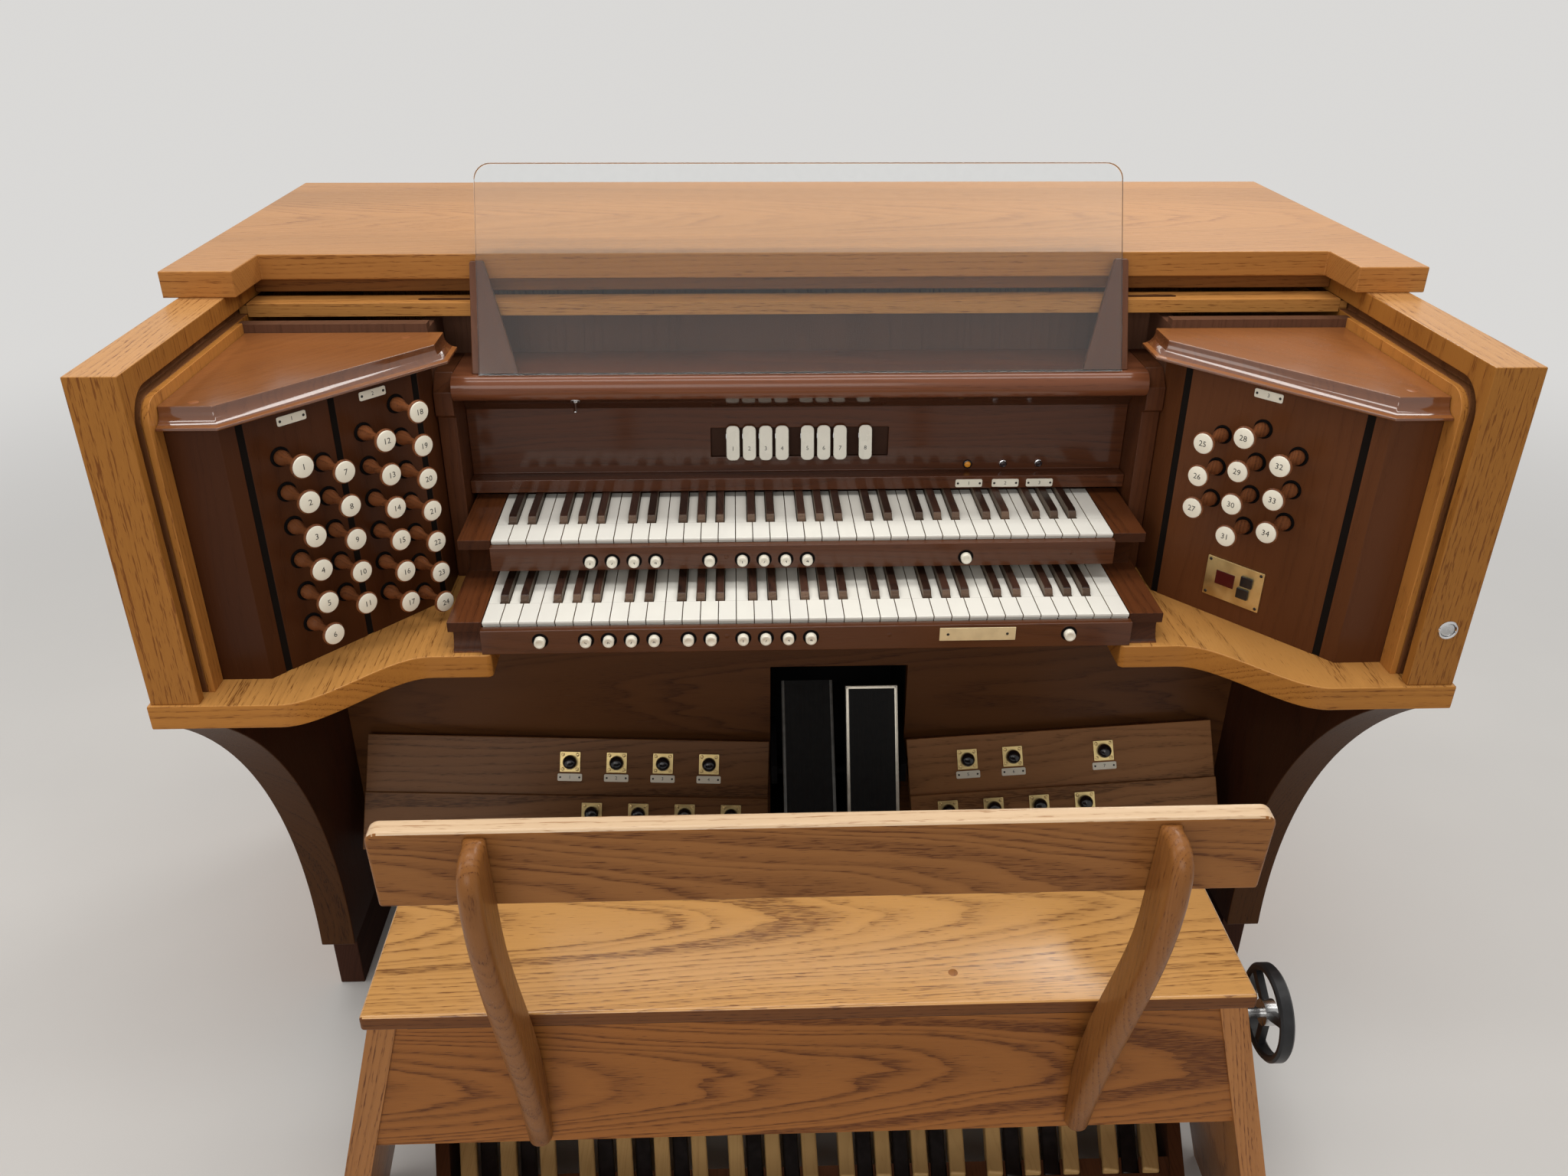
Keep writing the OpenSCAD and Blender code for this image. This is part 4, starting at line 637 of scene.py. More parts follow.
def screw_tree(name):
    """Low domed screw heads, each with its slot left at a turn of its own."""
    tree, given = new_tree(name, {"Radius": 0.002, "Height": 0.001, "Slot": 0.0006})
    dome = [(1, 0), (1, 0.35), (0.86, 0.72), (0.55, 0.94), (0, 1)]
    head = lathe(tree, given["Radius"], given["Height"], dome, 20, 4)
    size = wire(tree, "ShaderNodeCombineXYZ", {0: calc(tree, "MULTIPLY", given["Radius"], 2.4), 1: given["Slot"],
                                               2: given["Height"]}).outputs[0]
    bar = wire(tree, "GeometryNodeMeshCube", {"Size": size}).outputs[0]
    lift = wire(tree, "ShaderNodeCombineXYZ", {2: calc(tree, "MULTIPLY", given["Height"], 0.98)}).outputs[0]
    bar = wire(tree, "GeometryNodeTransform", {"Geometry": bar, "Translation": lift}).outputs[0]
    cut = wire(tree, "GeometryNodeMeshBoolean", {"Mesh 1": head, "Mesh 2": bar}, operation="DIFFERENCE")
    return set_out(tree, given, cut.outputs[0], spin=True)


plates = plate_tree("rounded_plates")
screws = screw_tree("slotted_screws")
domes = turned_tree("domes", [(1, 0), (1, 0.3), (0.95, 0.55), (0.72, 0.86), (0.38, 0.97), (0, 1)], 32, 12)
brass = coated("brass", (0.70, 0.54, 0.25), 0.40, 1.0, mottle=0.08, scale=60, uneven=0.12)
brass_screw = coated("brass_screws", (0.58, 0.43, 0.20), 0.34, 1.0, mottle=0.2)
black_knob = coated("black_plastic", (0.010, 0.010, 0.012), 0.16)
ivory = coated("ivory_plastic", (0.80, 0.76, 0.64), 0.35, mottle=0.03, scale=30)
dark_screw = coated("blackened_screws", (0.03, 0.028, 0.026), 0.4, 0.6)
ink = coated("engraved_black", (0.02, 0.018, 0.016), 0.6)
toe_lean = math.radians(30)
toe_board_rise = 0.030
stud_side = 0.034
stud_plate = 0.002
stud_dome = 0.012
stud_rise = 0.018
stud_screw_in = 0.0048
toe_label_drop = 0.026
toe_label_w = 0.041
toe_label_h = 0.0125


def beside(place, sideways, upwards, out=0.0):
    """A place moved along its own sideways, up and outward ways."""
    point, facing, above = place
    return (point + above.cross(facing) * sideways + above * upwards + facing * out, facing, above)


def corners_of(places, half_w, half_h, out):
    return [beside(place, s * half_w, t * half_h, out) for place in places for s in (-1, 1) for t in (-1, 1)]


engraving = 0.00015


def numbers(name, labelled, height):
    """Plain engraved numbers, each laid on its place, joined in one mesh."""
    joined = bmesh.new()
    for text, (point, facing, above) in labelled:
        curve = bpy.data.curves.new(name, "FONT")
        curve.body = text
        curve.size = height
        curve.align_x = "CENTER"
        curve.align_y = "CENTER"
        curve.extrude = engraving / 2
        curve.resolution_u = 2
        letter = bpy.data.objects.new(name, curve)
        mesh = bpy.data.meshes.new_from_object(letter)
        sideways = above.cross(facing)
        mesh.transform(Matrix((sideways, above, facing)).transposed().to_4x4())
        mesh.transform(Matrix.Translation(point))
        joined.from_mesh(mesh)
        bpy.data.objects.remove(letter)
        bpy.data.meshes.remove(mesh)
        bpy.data.curves.remove(curve)
    bmesh.ops.remove_doubles(joined, verts=joined.verts, dist=1e-7)
    mesh = bpy.data.meshes.new(name)
    joined.to_mesh(mesh)
    joined.free()
    mesh.materials.append(ink)
    return placed(name, mesh, "ivory_plastic")


label_t = 0.0014


def label_plates(name, places, width, height, texts, screw_in=0.0045):
    """Screwed ivory labels with plain numbers."""
    made_from(plates, name, places, ivory, "ivory_plastic", ease=0.0003, Width=width, Height=height,
              Thickness=label_t, Corner=0.0022)
    ends = [beside(place, s * (width / 2 - screw_in), 0, 0.0013) for place in places for s in (-1, 1)]
    made_from(screws, name + "_screws", ends, dark_screw, "dark_metal", Radius=0.0017, Height=0.0006,
              Slot=0.0005)
    labelled = [(text, beside(place, 0, 0, label_t)) for text, place in zip(texts, places)]
    numbers(name + "_numbers", labelled, height * 0.62)


studs = {-1: [], 1: []}
toe_low, toe_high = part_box("toe_boards")
well_low, well_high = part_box("shoe_well")
for points in solids("toe_studs"):
    side = -1 if sum(p.x for p in points) < 0 else 1
    length = toe_high.x - well_high.x if side > 0 else well_low.x - toe_low.x
    slope = math.atan2(toe_board_rise, length)
    turn = Matrix.Rotation(-side * slope, 3, "Y") @ Matrix.Rotation(-toe_lean, 3, "X")
    out = turn @ player
    above = turn @ up
    studs[side].append((foot_of(points, out, above), out, above))
toe_places = studs[-1] + studs[1]
made_from(plates, "toe_stud_plates", toe_places, brass, "brass_trim", stands_for=["toe_studs"], ease=0.0004,
          Width=stud_side, Height=stud_side, Thickness=stud_plate, Corner=0.0012)
made_from(domes, "toe_stud_domes", [beside(place, 0, 0, 0.0018) for place in toe_places], black_knob,
          "black_rubber", Radius=stud_dome, Height=stud_rise)
screw_out = stud_side / 2 - stud_screw_in
made_from(screws, "toe_stud_screws", corners_of(toe_places, screw_out, screw_out, 0.0019), brass_screw,
          "brass_trim", Radius=0.0030, Height=0.0014, Slot=0.0008)
upper_row = []
for side in (-1, 1):
    row = sorted(studs[side], key=lambda place: place[0].x)
    middle = sum(place[0].z for place in row) / len(row)
    upper_row += [place for place in row if place[0].z > middle]
label_plates("toe_labels", [beside(place, 0, -toe_label_drop) for place in upper_row], toe_label_w,
             toe_label_h, [str(i + 1) for i in range(len(upper_row))])

# Stop jambs
# The jambs are dark stained panels turned towards the player, with a narrow groove, black inside, at each group.
# Each is bent round to meet the track at its outer end.
jamb_turn = 49
jamb_corner_x = 0.677
groove_depth = 0.0065
key_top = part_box("lower_naturals")[1].z
# The right jamb's stain is painted lighter, as painted light from the left, and the left jamb's is painted darker, as
# painted shade.
jamb_wood = {
    1: timber("right_jamb_stain", (0.102, 0.034, 0.0115), (0.056, 0.0170, 0.0060), upright, heart=(0.35, 0.3),
              ring=0.014, wander=0.03, contrast=0.2, pores=0.1, fibre=0.15, patch=0.25, coat=0.14),
    -1: timber("left_jamb_stain", (0.064, 0.0195, 0.0062), (0.034, 0.0100, 0.0036), upright, heart=(-0.15, -0.4),
               ring=0.014, wander=0.03, contrast=0.2, pores=0.1, fibre=0.15, patch=0.25, coat=0.14),
}
# The groove's inner faces are coloured black.
inlay_black = coated("inlay_black", (0.007, 0.005, 0.004), 0.7, shine=0.05)
jamb_face = {}
for side, node in ((-1, "left_stop_jamb"), (1, "right_stop_jamb")):
    facing = Vector((-side * math.sin(math.radians(jamb_turn)), -math.cos(math.radians(jamb_turn)), 0))
    corner = Vector((side * jamb_corner_x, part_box(node)[0].y, 0))
    jamb_face[side] = (corner, facing)

    def jamb_finish(centre, normal, corner=corner, facing=facing):
        behind = (centre - corner).dot(facing)
        turned = abs(normal.dot(facing)) > 0.99 or abs(normal.dot(facing)) < 0.01
        return int(turned and -groove_depth < behind < -hair and abs(normal.z) < 0.5)

    eased(node, 0.0006, "walnut", [jamb_wood[side], inlay_black], jamb_finish, steps=1)


def on_jamb(side, along, height, out=0.0):
    """A place on a jamb's face, this far from its outer corner and at this height over the key tops."""
    corner, facing = jamb_face[side]
    run = Vector((-side * math.cos(math.radians(jamb_turn)), math.sin(math.radians(jamb_turn)), 0))
    point = corner + run * along + facing * out
    return (Vector((point.x, point.y, key_top + height)), facing, up)


# Jamb caps
# A reddish brown board with a coved and highly polished edge is mitred round the top of each jamb.
# It is screwed down, and each screw head is hidden under a round wooden plug.
cap_woods = {
    side: timber(name, (0.215, 0.078, 0.023), (0.120, 0.040, 0.012), (0, 0, side * jamb_turn),
                 heart=(0.2, 1.02), ring=0.010, wander=0.02, contrast=0.3, pores=0.2, patch=0.3, gloss=0.14, coat=0.55)
    for side, name in ((1, "right_cap_stain"), (-1, "left_cap_stain"))
}
cap_edge = timber("cap_edge_stain", (0.150, 0.050, 0.018), (0.075, 0.024, 0.009), heart=(0.2, 1.02), ring=0.010,
                  contrast=0.4, pores=0.2, gloss=0.07, coat=1.0)
cap_edge.node_tree.nodes["Principled BSDF"].inputs["Coat IOR"].default_value = 1.75


def cap_face(centre, normal):
    return 2 if normal.z < 0.95 else int(centre.x < 0)


eased("jamb_caps", 0.0012, "walnut", [cap_woods[1], cap_woods[-1], cap_edge], cap_face)
plugs = turned_tree("wooden_plugs", [(1, 0), (1, 0.6), (0.9, 1), (0, 1)], 24)
plug_wood = timber("plug_stain", (0.26, 0.094, 0.032), (0.14, 0.046, 0.016), ring=0.003)
cap_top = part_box("jamb_caps")[1].z
plug_sunk = 0.0004
cap_plugs_at = ((-0.701, -0.170), (0.701, -0.160), (-0.521, 0.079))
made_from(plugs, "cap_plugs", [(Vector((x, y, cap_top - plug_sunk)), up, -player) for x, y in cap_plugs_at],
          plug_wood, "walnut", Radius=0.0062, Height=0.0006)

# Drawknobs
# Turned rosewood knobs pull straight out of the jambs through black felt rings, in staggered columns.
# Each carries a round ivory face with a plain number.
knob_radius = 0.015
knob_reach = 0.051
knob_number = 0.0105
face_radius = 0.0133
face_from = 0.935
face_share = 0.06
number_from = 0.9955
knob_section = [(0.57, 0), (0.60, 0.03), (0.63, 0.10), (0.58, 0.19), (0.42, 0.31), (0.31, 0.44), (0.29, 0.56),
                (0.34, 0.68), (0.58, 0.79), (0.92, 0.865), (1, 0.895), (1, 0.925), (0.94, 0.945), (0, 0.945)]
knobs = turned_tree("drawknobs", knob_section, 32, 26)
faces = turned_tree("drawknob_faces", [(0.96, 0), (1, 0.35), (0.97, 0.8), (0.85, 0.97), (0, 1)], 32)
felts = turned_tree("felt_rings", [(0.72, 0.2), (0.76, 0.9), (0.84, 1), (0.95, 0.9), (1, 0.4), (1, 0)], 32)
knob_wood = timber("knob_rosewood", (0.21, 0.072, 0.026), (0.060, 0.020, 0.009), (0, 90, 0), heart=(0.4, 0.3),
                   ring=0.004, wander=0.02, contrast=0.6, pores=0.3, gloss=0.12, coat=0.6, patch=0.3)
felt = coated("black_felt", (0.006, 0.005, 0.005), 0.95, mottle=0.3, scale=400, relief=0.0008, shine=0.03)
count = 0
for node, side in (("pedal_drawknobs", -1), ("swell_drawknobs", -1), ("great_drawknobs", 1)):
    facing = jamb_face[side][1]
    places = [(foot_of(points, facing), facing, up) for points in solids(node)]
    places.sort(key=lambda place: (round(place[0].x, 3), -place[0].z))
    made_from(knobs, node + "_turned", places, knob_wood, "rosewood", stands_for=[node], Radius=knob_radius,
              Height=knob_reach)
    made_from(faces, node + "_faces", [beside(place, 0, 0, knob_reach * face_from) for place in places],
              ivory, "ivory_plastic", Radius=face_radius, Height=knob_reach * face_share)
    made_from(felts, node + "_felts", places, felt, "black_rubber", Radius=0.0125, Height=0.0022)
    labelled = [(str(count + i + 1), beside(place, 0, 0, knob_reach * number_from))
                for i, place in enumerate(places)]
    numbers(node + "_numbers", labelled, knob_number)
    count += len(places)
group_labels_at = ((-1, 0.0902, 0.2800), (-1, 0.2023, 0.2810), (1, 0.1540, 0.2820))
small_label_screw_in = 0.0035
label_plates("group_labels", [on_jamb(*spot, out=0.0002) for spot in group_labels_at], 0.038, 0.0115, "123",
             small_label_screw_in)

# Memory plate
# A brass plate under the right hand drawknobs holds a small red display and two square push buttons.
# Four dark screws fix it to the jamb.
facing = jamb_face[1][1]
plate_place = (foot_of(solids("memory_plate")[0], facing), facing, up)
plate_w = 0.082
plate_h = 0.058
plate_t = 0.003
plate_screw_in = 0.0045
window_at = (-0.012, 0.002)
buttons_at = ((0.019, 0.009), (0.016, -0.009))
on_plate = plate_t - 0.0002
made_from(plates, "memory_brass", [plate_place], brass, "brass_trim", stands_for=["memory_plate"], ease=0.0004,
          Width=plate_w, Height=plate_h, Thickness=plate_t, Corner=0.001)
plate_corners = corners_of([plate_place], plate_w / 2 - plate_screw_in, plate_h / 2 - plate_screw_in,
                           plate_t - 0.0001)
made_from(screws, "memory_screws", plate_corners, dark_screw, "dark_metal", Radius=0.0022, Height=0.0008,
          Slot=0.0006)
red_window = coated("red_window", (0.070, 0.010, 0.008), 0.12)
made_from(plates, "memory_window", [beside(plate_place, *window_at, on_plate)], red_window, "clear_acrylic",
          ease=0.0003, Width=0.027, Height=0.020, Thickness=0.0012, Corner=0.0005)
made_from(plates, "memory_buttons", [beside(plate_place, *spot, on_plate) for spot in buttons_at], black_knob,
          "black_rubber", ease=0.0008, Width=0.017, Height=0.015, Thickness=0.0032, Corner=0.0015)

# Keyboards
# Two manuals of white moulded naturals over wooden key bodies, with rosewood sharps that slope at the front.
# They lie on frames of pale wood, and each row of fronts stands over a stained key slip.
key_body = timber("key_body_lime", (0.26, 0.18, 0.10), (0.18, 0.12, 0.06), (0, 0, 90), contrast=0.4, pores=0.1)
frame_wood = timber("key_frame_wood", (0.42, 0.30, 0.17), (0.26, 0.17, 0.09), pores=0.1)
sharp_top = timber("sharp_rosewood", (0.052, 0.023, 0.015), (0.018, 0.010, 0.009), (0, 0, 90), heart=(0.1, 0.3),
                   ring=0.0022, wander=0.02, contrast=0.6, pores=0.4, patch=0.3, gloss=0.2, coat=0.3,
                   stave=0.0137, unlike=0.45)
sharp_side = timber("sharp_side_wood", (0.17, 0.125, 0.088), (0.080, 0.056, 0.040), (0, 0, 90), heart=(0.1, 0.3),
                    ring=0.0025, contrast=0.5, patch=0.3, gloss=0.32)
sharp_front = timber("sharp_front_wood", (0.13, 0.080, 0.052), (0.070, 0.040, 0.028), (0, 0, 90),
                     heart=(0.1, 0.3), ring=0.0025, contrast=0.4, patch=0.3, gloss=0.3, stave=0.0137, unlike=0.3)
covering = 0.005
naturals_in_row = 36
lip_depth = 0.0036
key_joints = {"lower": -0.063, "upper": 0.046}


def key_covering(name, row_low, row_high, seam):
    """White keys of slightly unlike tones, with the joint of head and tail and the lip's shadow line."""
    material = coated(name, (0.87, 0.855, 0.78), 0.20, mottle=0.02, scale=14, relief=0.00005)
    tree = material.node_tree
    shader = tree.nodes["Principled BSDF"]
    plain = shader.inputs["Base Color"].links[0].from_socket
    axes = wire(tree, "ShaderNodeSeparateXYZ", {0: wire(tree, "ShaderNodeTexCoord").outputs["Object"]}).outputs
    pitch = (row_high.x - row_low.x) / naturals_in_row
    key = calc(tree, "FLOOR", calc(tree, "DIVIDE", calc(tree, "SUBTRACT", axes["X"], row_low.x), pitch))
    chance = wire(tree, "ShaderNodeTexWhiteNoise", {"W": key}, noise_dimensions="1D").outputs["Value"]
    toned = blended(tree, calc(tree, "MULTIPLY", chance, 0.4), plain, (0.80, 0.79, 0.75, 1))
    off_joint = calc(tree, "ABSOLUTE", calc(tree, "SUBTRACT", axes["Y"], seam))
    off_lip = calc(tree, "ABSOLUTE", calc(tree, "SUBTRACT", axes["Z"], row_high.z - lip_depth))
    joint = spread(tree, off_joint, 0.0002, 0.0006, 0.30, 0)
    lip = spread(tree, off_lip, 0.0004, 0.0010, 0.55, 0)
    lined = blended(tree, calc(tree, "MAXIMUM", joint, lip), toned, (0.20, 0.18, 0.15, 1))
    tree.links.new(lined, shader.inputs["Base Color"])
    return material


for manual, seam in key_joints.items():
    row_low, row_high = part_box(manual + "_naturals")
    key_white = key_covering(manual + "_key_white", row_low, row_high, seam)

    def natural_face(centre, normal, top=row_high.z):
        return int(centre.z < top - covering - 0.001 and abs(normal.y) < 0.5)

    def sharp_face(centre, normal):
        return 1 if abs(normal.x) > 0.9 else 2 if normal.y < -0.45 else 0

    eased(manual + "_naturals", 0.0006, "ivory_plastic", [key_white, key_body], natural_face)
    eased(manual + "_sharps", 0.0012, "rosewood", [sharp_top, sharp_side, sharp_front], sharp_face)
eased("key_frames", 0.001, "maple", [frame_wood])

# Key slips, pistons and nameplate
# Each slip is a stained board pierced for ivory thumb pistons, which stand in groups and carry plain numbers.
# A blank brass plate is held by two screws at the right of the lower slip.
slip_wood = timber("slip_stain", (0.090, 0.030, 0.0115), stain_deep, (-90, 0, 0), heart=(0.78, -0.1), ring=0.007,
                   contrast=0.5, pores=0.3, gloss=0.12, coat=0.5)
eased("key_slips", 0.0012, "walnut", [slip_wood])
buttons_ivory = turned_tree("pistons", [(0.9, 0), (0.9, 0.86), (0.84, 0.97), (0.62, 1), (0.5, 0.93), (0, 0.9)], 28)
collars = turned_tree("collars", [(0.7, 0), (0.7, 1), (0.86, 1), (0.97, 0.7), (1, 0.3), (1, 0)], 28)
piston_places = sorted(((foot_of(points, player), player, up) for points in solids("thumb_pistons")),
                       key=lambda place: (round(place[0].z, 2), place[0].x))
piston_radius = 0.008
piston_reach = 0.009
piston_number = 0.0088
piston_dish = 0.905
made_from(buttons_ivory, "thumb_pistons_turned", piston_places, ivory, "ivory_plastic",
          stands_for=["thumb_pistons"], Radius=piston_radius, Height=piston_reach)
# A flat black ring on the slip round each piston stands for its hole: painted shade.
made_from(collars, "piston_collars", piston_places, felt, "black_rubber", Radius=piston_radius * 1.32,
          Height=0.0006)
piston_texts = " 5678  1234 " + "1234 1234 "
numbers("piston_numbers", [(text, beside(place, 0, 0, piston_reach * piston_dish))
                           for text, place in zip(piston_texts, piston_places) if text != " "], piston_number)
lower_slip_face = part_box("key_slips")[0].y - 0.0001
upper_slip_face = -0.0161
slip_plugs_at = ((-0.107, lower_slip_face, 0.8434), (0.105, lower_slip_face, 0.8417),
                 (-0.107, upper_slip_face, 0.9021), (0.364, upper_slip_face, 0.9030))
made_from(plugs, "slip_plugs", [(Vector(spot), player, up) for spot in slip_plugs_at], slip_wood, "walnut",
          Radius=0.0032, Height=0.0004)
cream = coated("cream_brass", (0.72, 0.60, 0.36), 0.32, 0.35, mottle=0.05)
name_place = (Vector((0.2208, lower_slip_face, 0.8416)), player, up)
name_w = 0.100
name_h = 0.019
name_screw_out = 0.039
made_from(plates, "blank_nameplate", [name_place], cream, "ivory_plastic", ease=0.0003, Width=name_w,
          Height=name_h, Thickness=label_t, Corner=0.0006)
name_ends = [beside(name_place, s * name_screw_out, 0, 0.0013) for s in (-1, 1)]
made_from(screws, "nameplate_screws", name_ends, dark_screw, "dark_metal", Radius=0.0019, Height=0.0006,
          Slot=0.0005)

# Key cheeks and end boards
# A stained block with a rounded front fills the space beside each manual, level with its keys.
# Behind them the end boards rise to carry the music rail.
cheek_wood = timber("cheek_stain", (0.135, 0.042, 0.014), stain_deep, (0, 0, 90), heart=(0.55, 0.6), ring=0.008,
                    contrast=0.5, pores=0.3, gloss=0.16, coat=0.5)
# Front faces get a much darker stain: painted shade on the cheeks' fronts.
painted_shade_cheek_front = timber("cheek_foot_stain", (0.060, 0.020, 0.008), (0.025, 0.009, 0.005), (0, 0, 90),
                    heart=(0.55, 0.6), ring=0.008, pores=0.3, gloss=0.3, coat=0.1)
eased("key_cheeks", 0.003, "walnut", [cheek_wood, painted_shade_cheek_front], lambda centre, normal: int(normal.y < -0.6),
      steps=3)
end_wood = timber("end_board_stain", (0.095, 0.031, 0.0115), stain_deep, upright, heart=(0.2, 0.6), ring=0.010,
                  contrast=0.5, pores=0.25, gloss=0.3, coat=0.3)
eased("end_boards", 0.0012, "walnut", [end_wood])

# Coupler board
# The board behind the keys is stained walnut with a low name rail, and has a dark recess for the tablets.
# Three signal lamps over screwed ivory labels are let into it at the right.
coupler_wood = timber("coupler_stain", (0.088, 0.028, 0.011), (0.034, 0.012, 0.006), (-90, 0, 0),
                      heart=(0.7, -0.2), ring=0.012, wander=0.03, contrast=0.5, pores=0.25, gloss=0.12, coat=0.5)
recess_dark = coated("recess_dark", (0.040, 0.017, 0.010), 0.5, shine=0.1)
coupler_low, coupler_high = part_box("coupler_board")
board_face_y = 0.157
recess_half = 0.135
recess_low = 0.97
recess_high = 1.03


def coupler_face(centre, normal):
    behind = board_face_y + hair < centre.y < coupler_high.y - hair
    return int(behind and abs(centre.x) < recess_half and recess_low < centre.z < recess_high)


eased("coupler_board", 0.0012, "walnut", [coupler_wood, recess_dark], coupler_face)
lamp_rings = turned_tree("lamp_rings", [(0.68, 0), (0.68, 0.7), (0.76, 1), (0.90, 0.86), (1, 0.4), (1, 0)], 32)
lamp_glass = turned_tree("lamp_lenses", [(1, 0), (0.98, 0.4), (0.8, 0.8), (0.45, 0.96), (0, 1)], 28, 8)
chrome = coated("chrome", (0.66, 0.66, 0.67), 0.12, 1.0, mottle=0.05, relief=0.00005)
amber = coated("amber_lens", (0.82, 0.33, 0.03), 0.18, mottle=0.05)
smoked = coated("smoked_lens", (0.030, 0.018, 0.020), 0.08)
lamps_at = ((0.2461, 0.9634), (0.2983, 0.9640), (0.3506, 0.9643))
lamps = [(Vector((x, board_face_y - 0.0001, z)), player, up) for x, z in lamps_at]
made_from(lamp_rings, "amber_lamp_ring", lamps[:1], black_knob, "dark_metal", Radius=0.0068, Height=0.0030)
made_from(lamp_rings, "dark_lamp_rings", lamps[1:], chrome, "dark_metal", Radius=0.0062, Height=0.0030)
made_from(lamp_glass, "amber_lamp_lens", lamps[:1], amber, "clear_acrylic", Radius=0.0050, Height=0.0040)
made_from(lamp_glass, "dark_lamp_lenses", lamps[1:], smoked, "clear_acrylic", Radius=0.0045, Height=0.0032)
lamp_labels_x = (0.2452, 0.2984, 0.3484)
lamp_labels_z = 0.9442
lamp_label_places = [(Vector((x, coupler_low.y - 0.0001, lamp_labels_z)), player, up) for x in lamp_labels_x]
label_plates("lamp_labels", lamp_label_places, 0.039, 0.012, "123", small_label_screw_in)

# Coupler tablets
# Eight ivory tilting tablets hang in their recess in groups of four, three and one.
# Each is a rounded tongue on a black rocker, held at its edge by a bright spring clip.
tablet_w = 0.019
tablet_h = 0.050
tablet_t = 0.005
rocker_t = 0.0028
tongue_from = 0.0024
tablet_number = 0.0085
tablet_ivory = coated("tablet_ivory", (0.87, 0.84, 0.73), 0.28, mottle=0.03, scale=30)
tablet_lean = math.radians(12)
tongue_out = Matrix.Rotation(-tablet_lean, 3, "X") @ player
tongue_up = Matrix.Rotation(-tablet_lean, 3, "X") @ up
tablets = sorted(((foot_of(points, tongue_out, tongue_up), tongue_out, tongue_up)
                  for points in solids("coupler_tablets")), key=lambda place: place[0].x)
made_from(plates, "coupler_tablets_rockers", tablets, black_knob, "black_rubber", ease=0.0004,
          Width=tablet_w - 0.003, Height=tablet_h - 0.008, Thickness=rocker_t, Corner=0.002)
made_from(plates, "coupler_tablets_faces", [beside(place, 0, 0, tongue_from) for place in tablets],
          tablet_ivory, "ivory_plastic", stands_for=["coupler_tablets"], ease=0.0011, Width=tablet_w,
          Height=tablet_h, Thickness=tablet_t - tongue_from, Corner=0.0070)
made_from(plates, "tablet_clips", [beside(place, -tablet_w / 2 + 0.0004, 0.010, 0.0012) for place in tablets],
          chrome, "dark_metal", ease=0.0003, Width=0.0022, Height=0.0075, Thickness=0.0032, Corner=0.0006)
numbers("coupler_tablets_numbers", [(str(i + 1), beside(place, 0, -0.008, tablet_t))
                                    for i, place in enumerate(tablets)], tablet_number)

# Music rail and desk
# A stained bullnosed rail runs over the keys, and a fillet strip under it holds a small toggle switch.
# Two tapered supports stand on the rail, and a clear acrylic panel leans on them as the music desk.
music_wood = timber("music_rail_stain", (0.180, 0.060, 0.026), (0.090, 0.030, 0.013), heart=(0.2, 1.3),
                    ring=0.010, wander=0.02, contrast=0.4, pores=0.25, gloss=0.14, coat=0.55)
eased("music_rail", 0.0012, "walnut", [music_wood])
fillet_section = [(0.1569, 1.0530), (0.1305, 1.0872), (0.1295, 1.0880), (0.1569, 1.0880)]
fillet_half = 0.4724
fillet_polish = 1.9
switch_at = Vector((-0.3164, 0.1455, 1.0679))
lever_points = Vector((0, -0.42, -0.907))
fillet_mesh = bpy.data.meshes.new("music_rail_fillet")
fillet_mesh.from_pydata([(x, y, z) for x in (-fillet_half, fillet_half) for y, z in fillet_section], [],
                        [(0, 1, 2, 3), (7, 6, 5, 4)] + [(i, 4 + i, 4 + (i + 1) % 4, (i + 1) % 4)
                                                        for i in range(4)])
fillet_wood = timber("fillet_stain", (0.060, 0.022, 0.011), (0.028, 0.010, 0.006), (-45, 0, 0), heart=(0.2, 1.3),
                     ring=0.010, contrast=0.4, pores=0.1, gloss=0.06, coat=1.0)
fillet_wood.node_tree.nodes["Principled BSDF"].inputs["Coat IOR"].default_value = fillet_polish
fillet_mesh.materials.append(fillet_wood)
fillet = placed("music_rail_fillet", fillet_mesh, "walnut")
softened(fillet, 0.0008)
fillet_out = Vector((0, -0.792, -0.611))
fillet_up = Vector((0, -0.611, 0.792))
switch_base = (switch_at - fillet_out * 0.0002, fillet_out, fillet_up)
made_from(plates, "switch_base", [switch_base], chrome, "dark_metal", ease=0.0006, Width=0.014, Height=0.009,
          Thickness=0.0016, Corner=0.0040)
switch_collar = turned_tree("switch_collars", [(1, 0), (1, 0.7), (0.8, 1), (0, 1)], 24)
switch_lever = turned_tree("switch_levers", [(0.55, 0), (0.6, 0.3), (0.8, 0.75), (1, 0.90), (0.8, 0.98), (0, 1)],
                           20, 12)
made_from(switch_collar, "switch_collar", [beside(switch_base, 0, 0, 0.0014)], chrome, "dark_metal",
          Radius=0.0038, Height=0.0022)
lever_place = (switch_base[0] + fillet_out * 0.002, lever_points, player)
made_from(switch_lever, "switch_lever", [lever_place], chrome, "dark_metal", Radius=0.0028, Height=0.0147)
support_wood = timber("desk_support_stain", (0.120, 0.045, 0.021), (0.065, 0.024, 0.012), upright,
                      heart=(0.3, 0.2), ring=0.012, contrast=0.4, pores=0.2, gloss=0.2, coat=0.4)
eased("desk_supports", 0.0018, "walnut", [support_wood], steps=3)
clear = coated("clear_acrylic", (0.97, 0.98, 0.98), 0.02, mottle=0.01, relief=0.00001, uneven=0.01)
clear_shader = clear.node_tree.nodes["Principled BSDF"]
clear_shader.inputs["Transmission Weight"].default_value = 1.0
clear_shader.inputs["IOR"].default_value = 1.49
clear_shader.inputs["Specular IOR Level"].default_value = 0.18
eased("music_desk", 0.0008, "clear_acrylic", [clear])
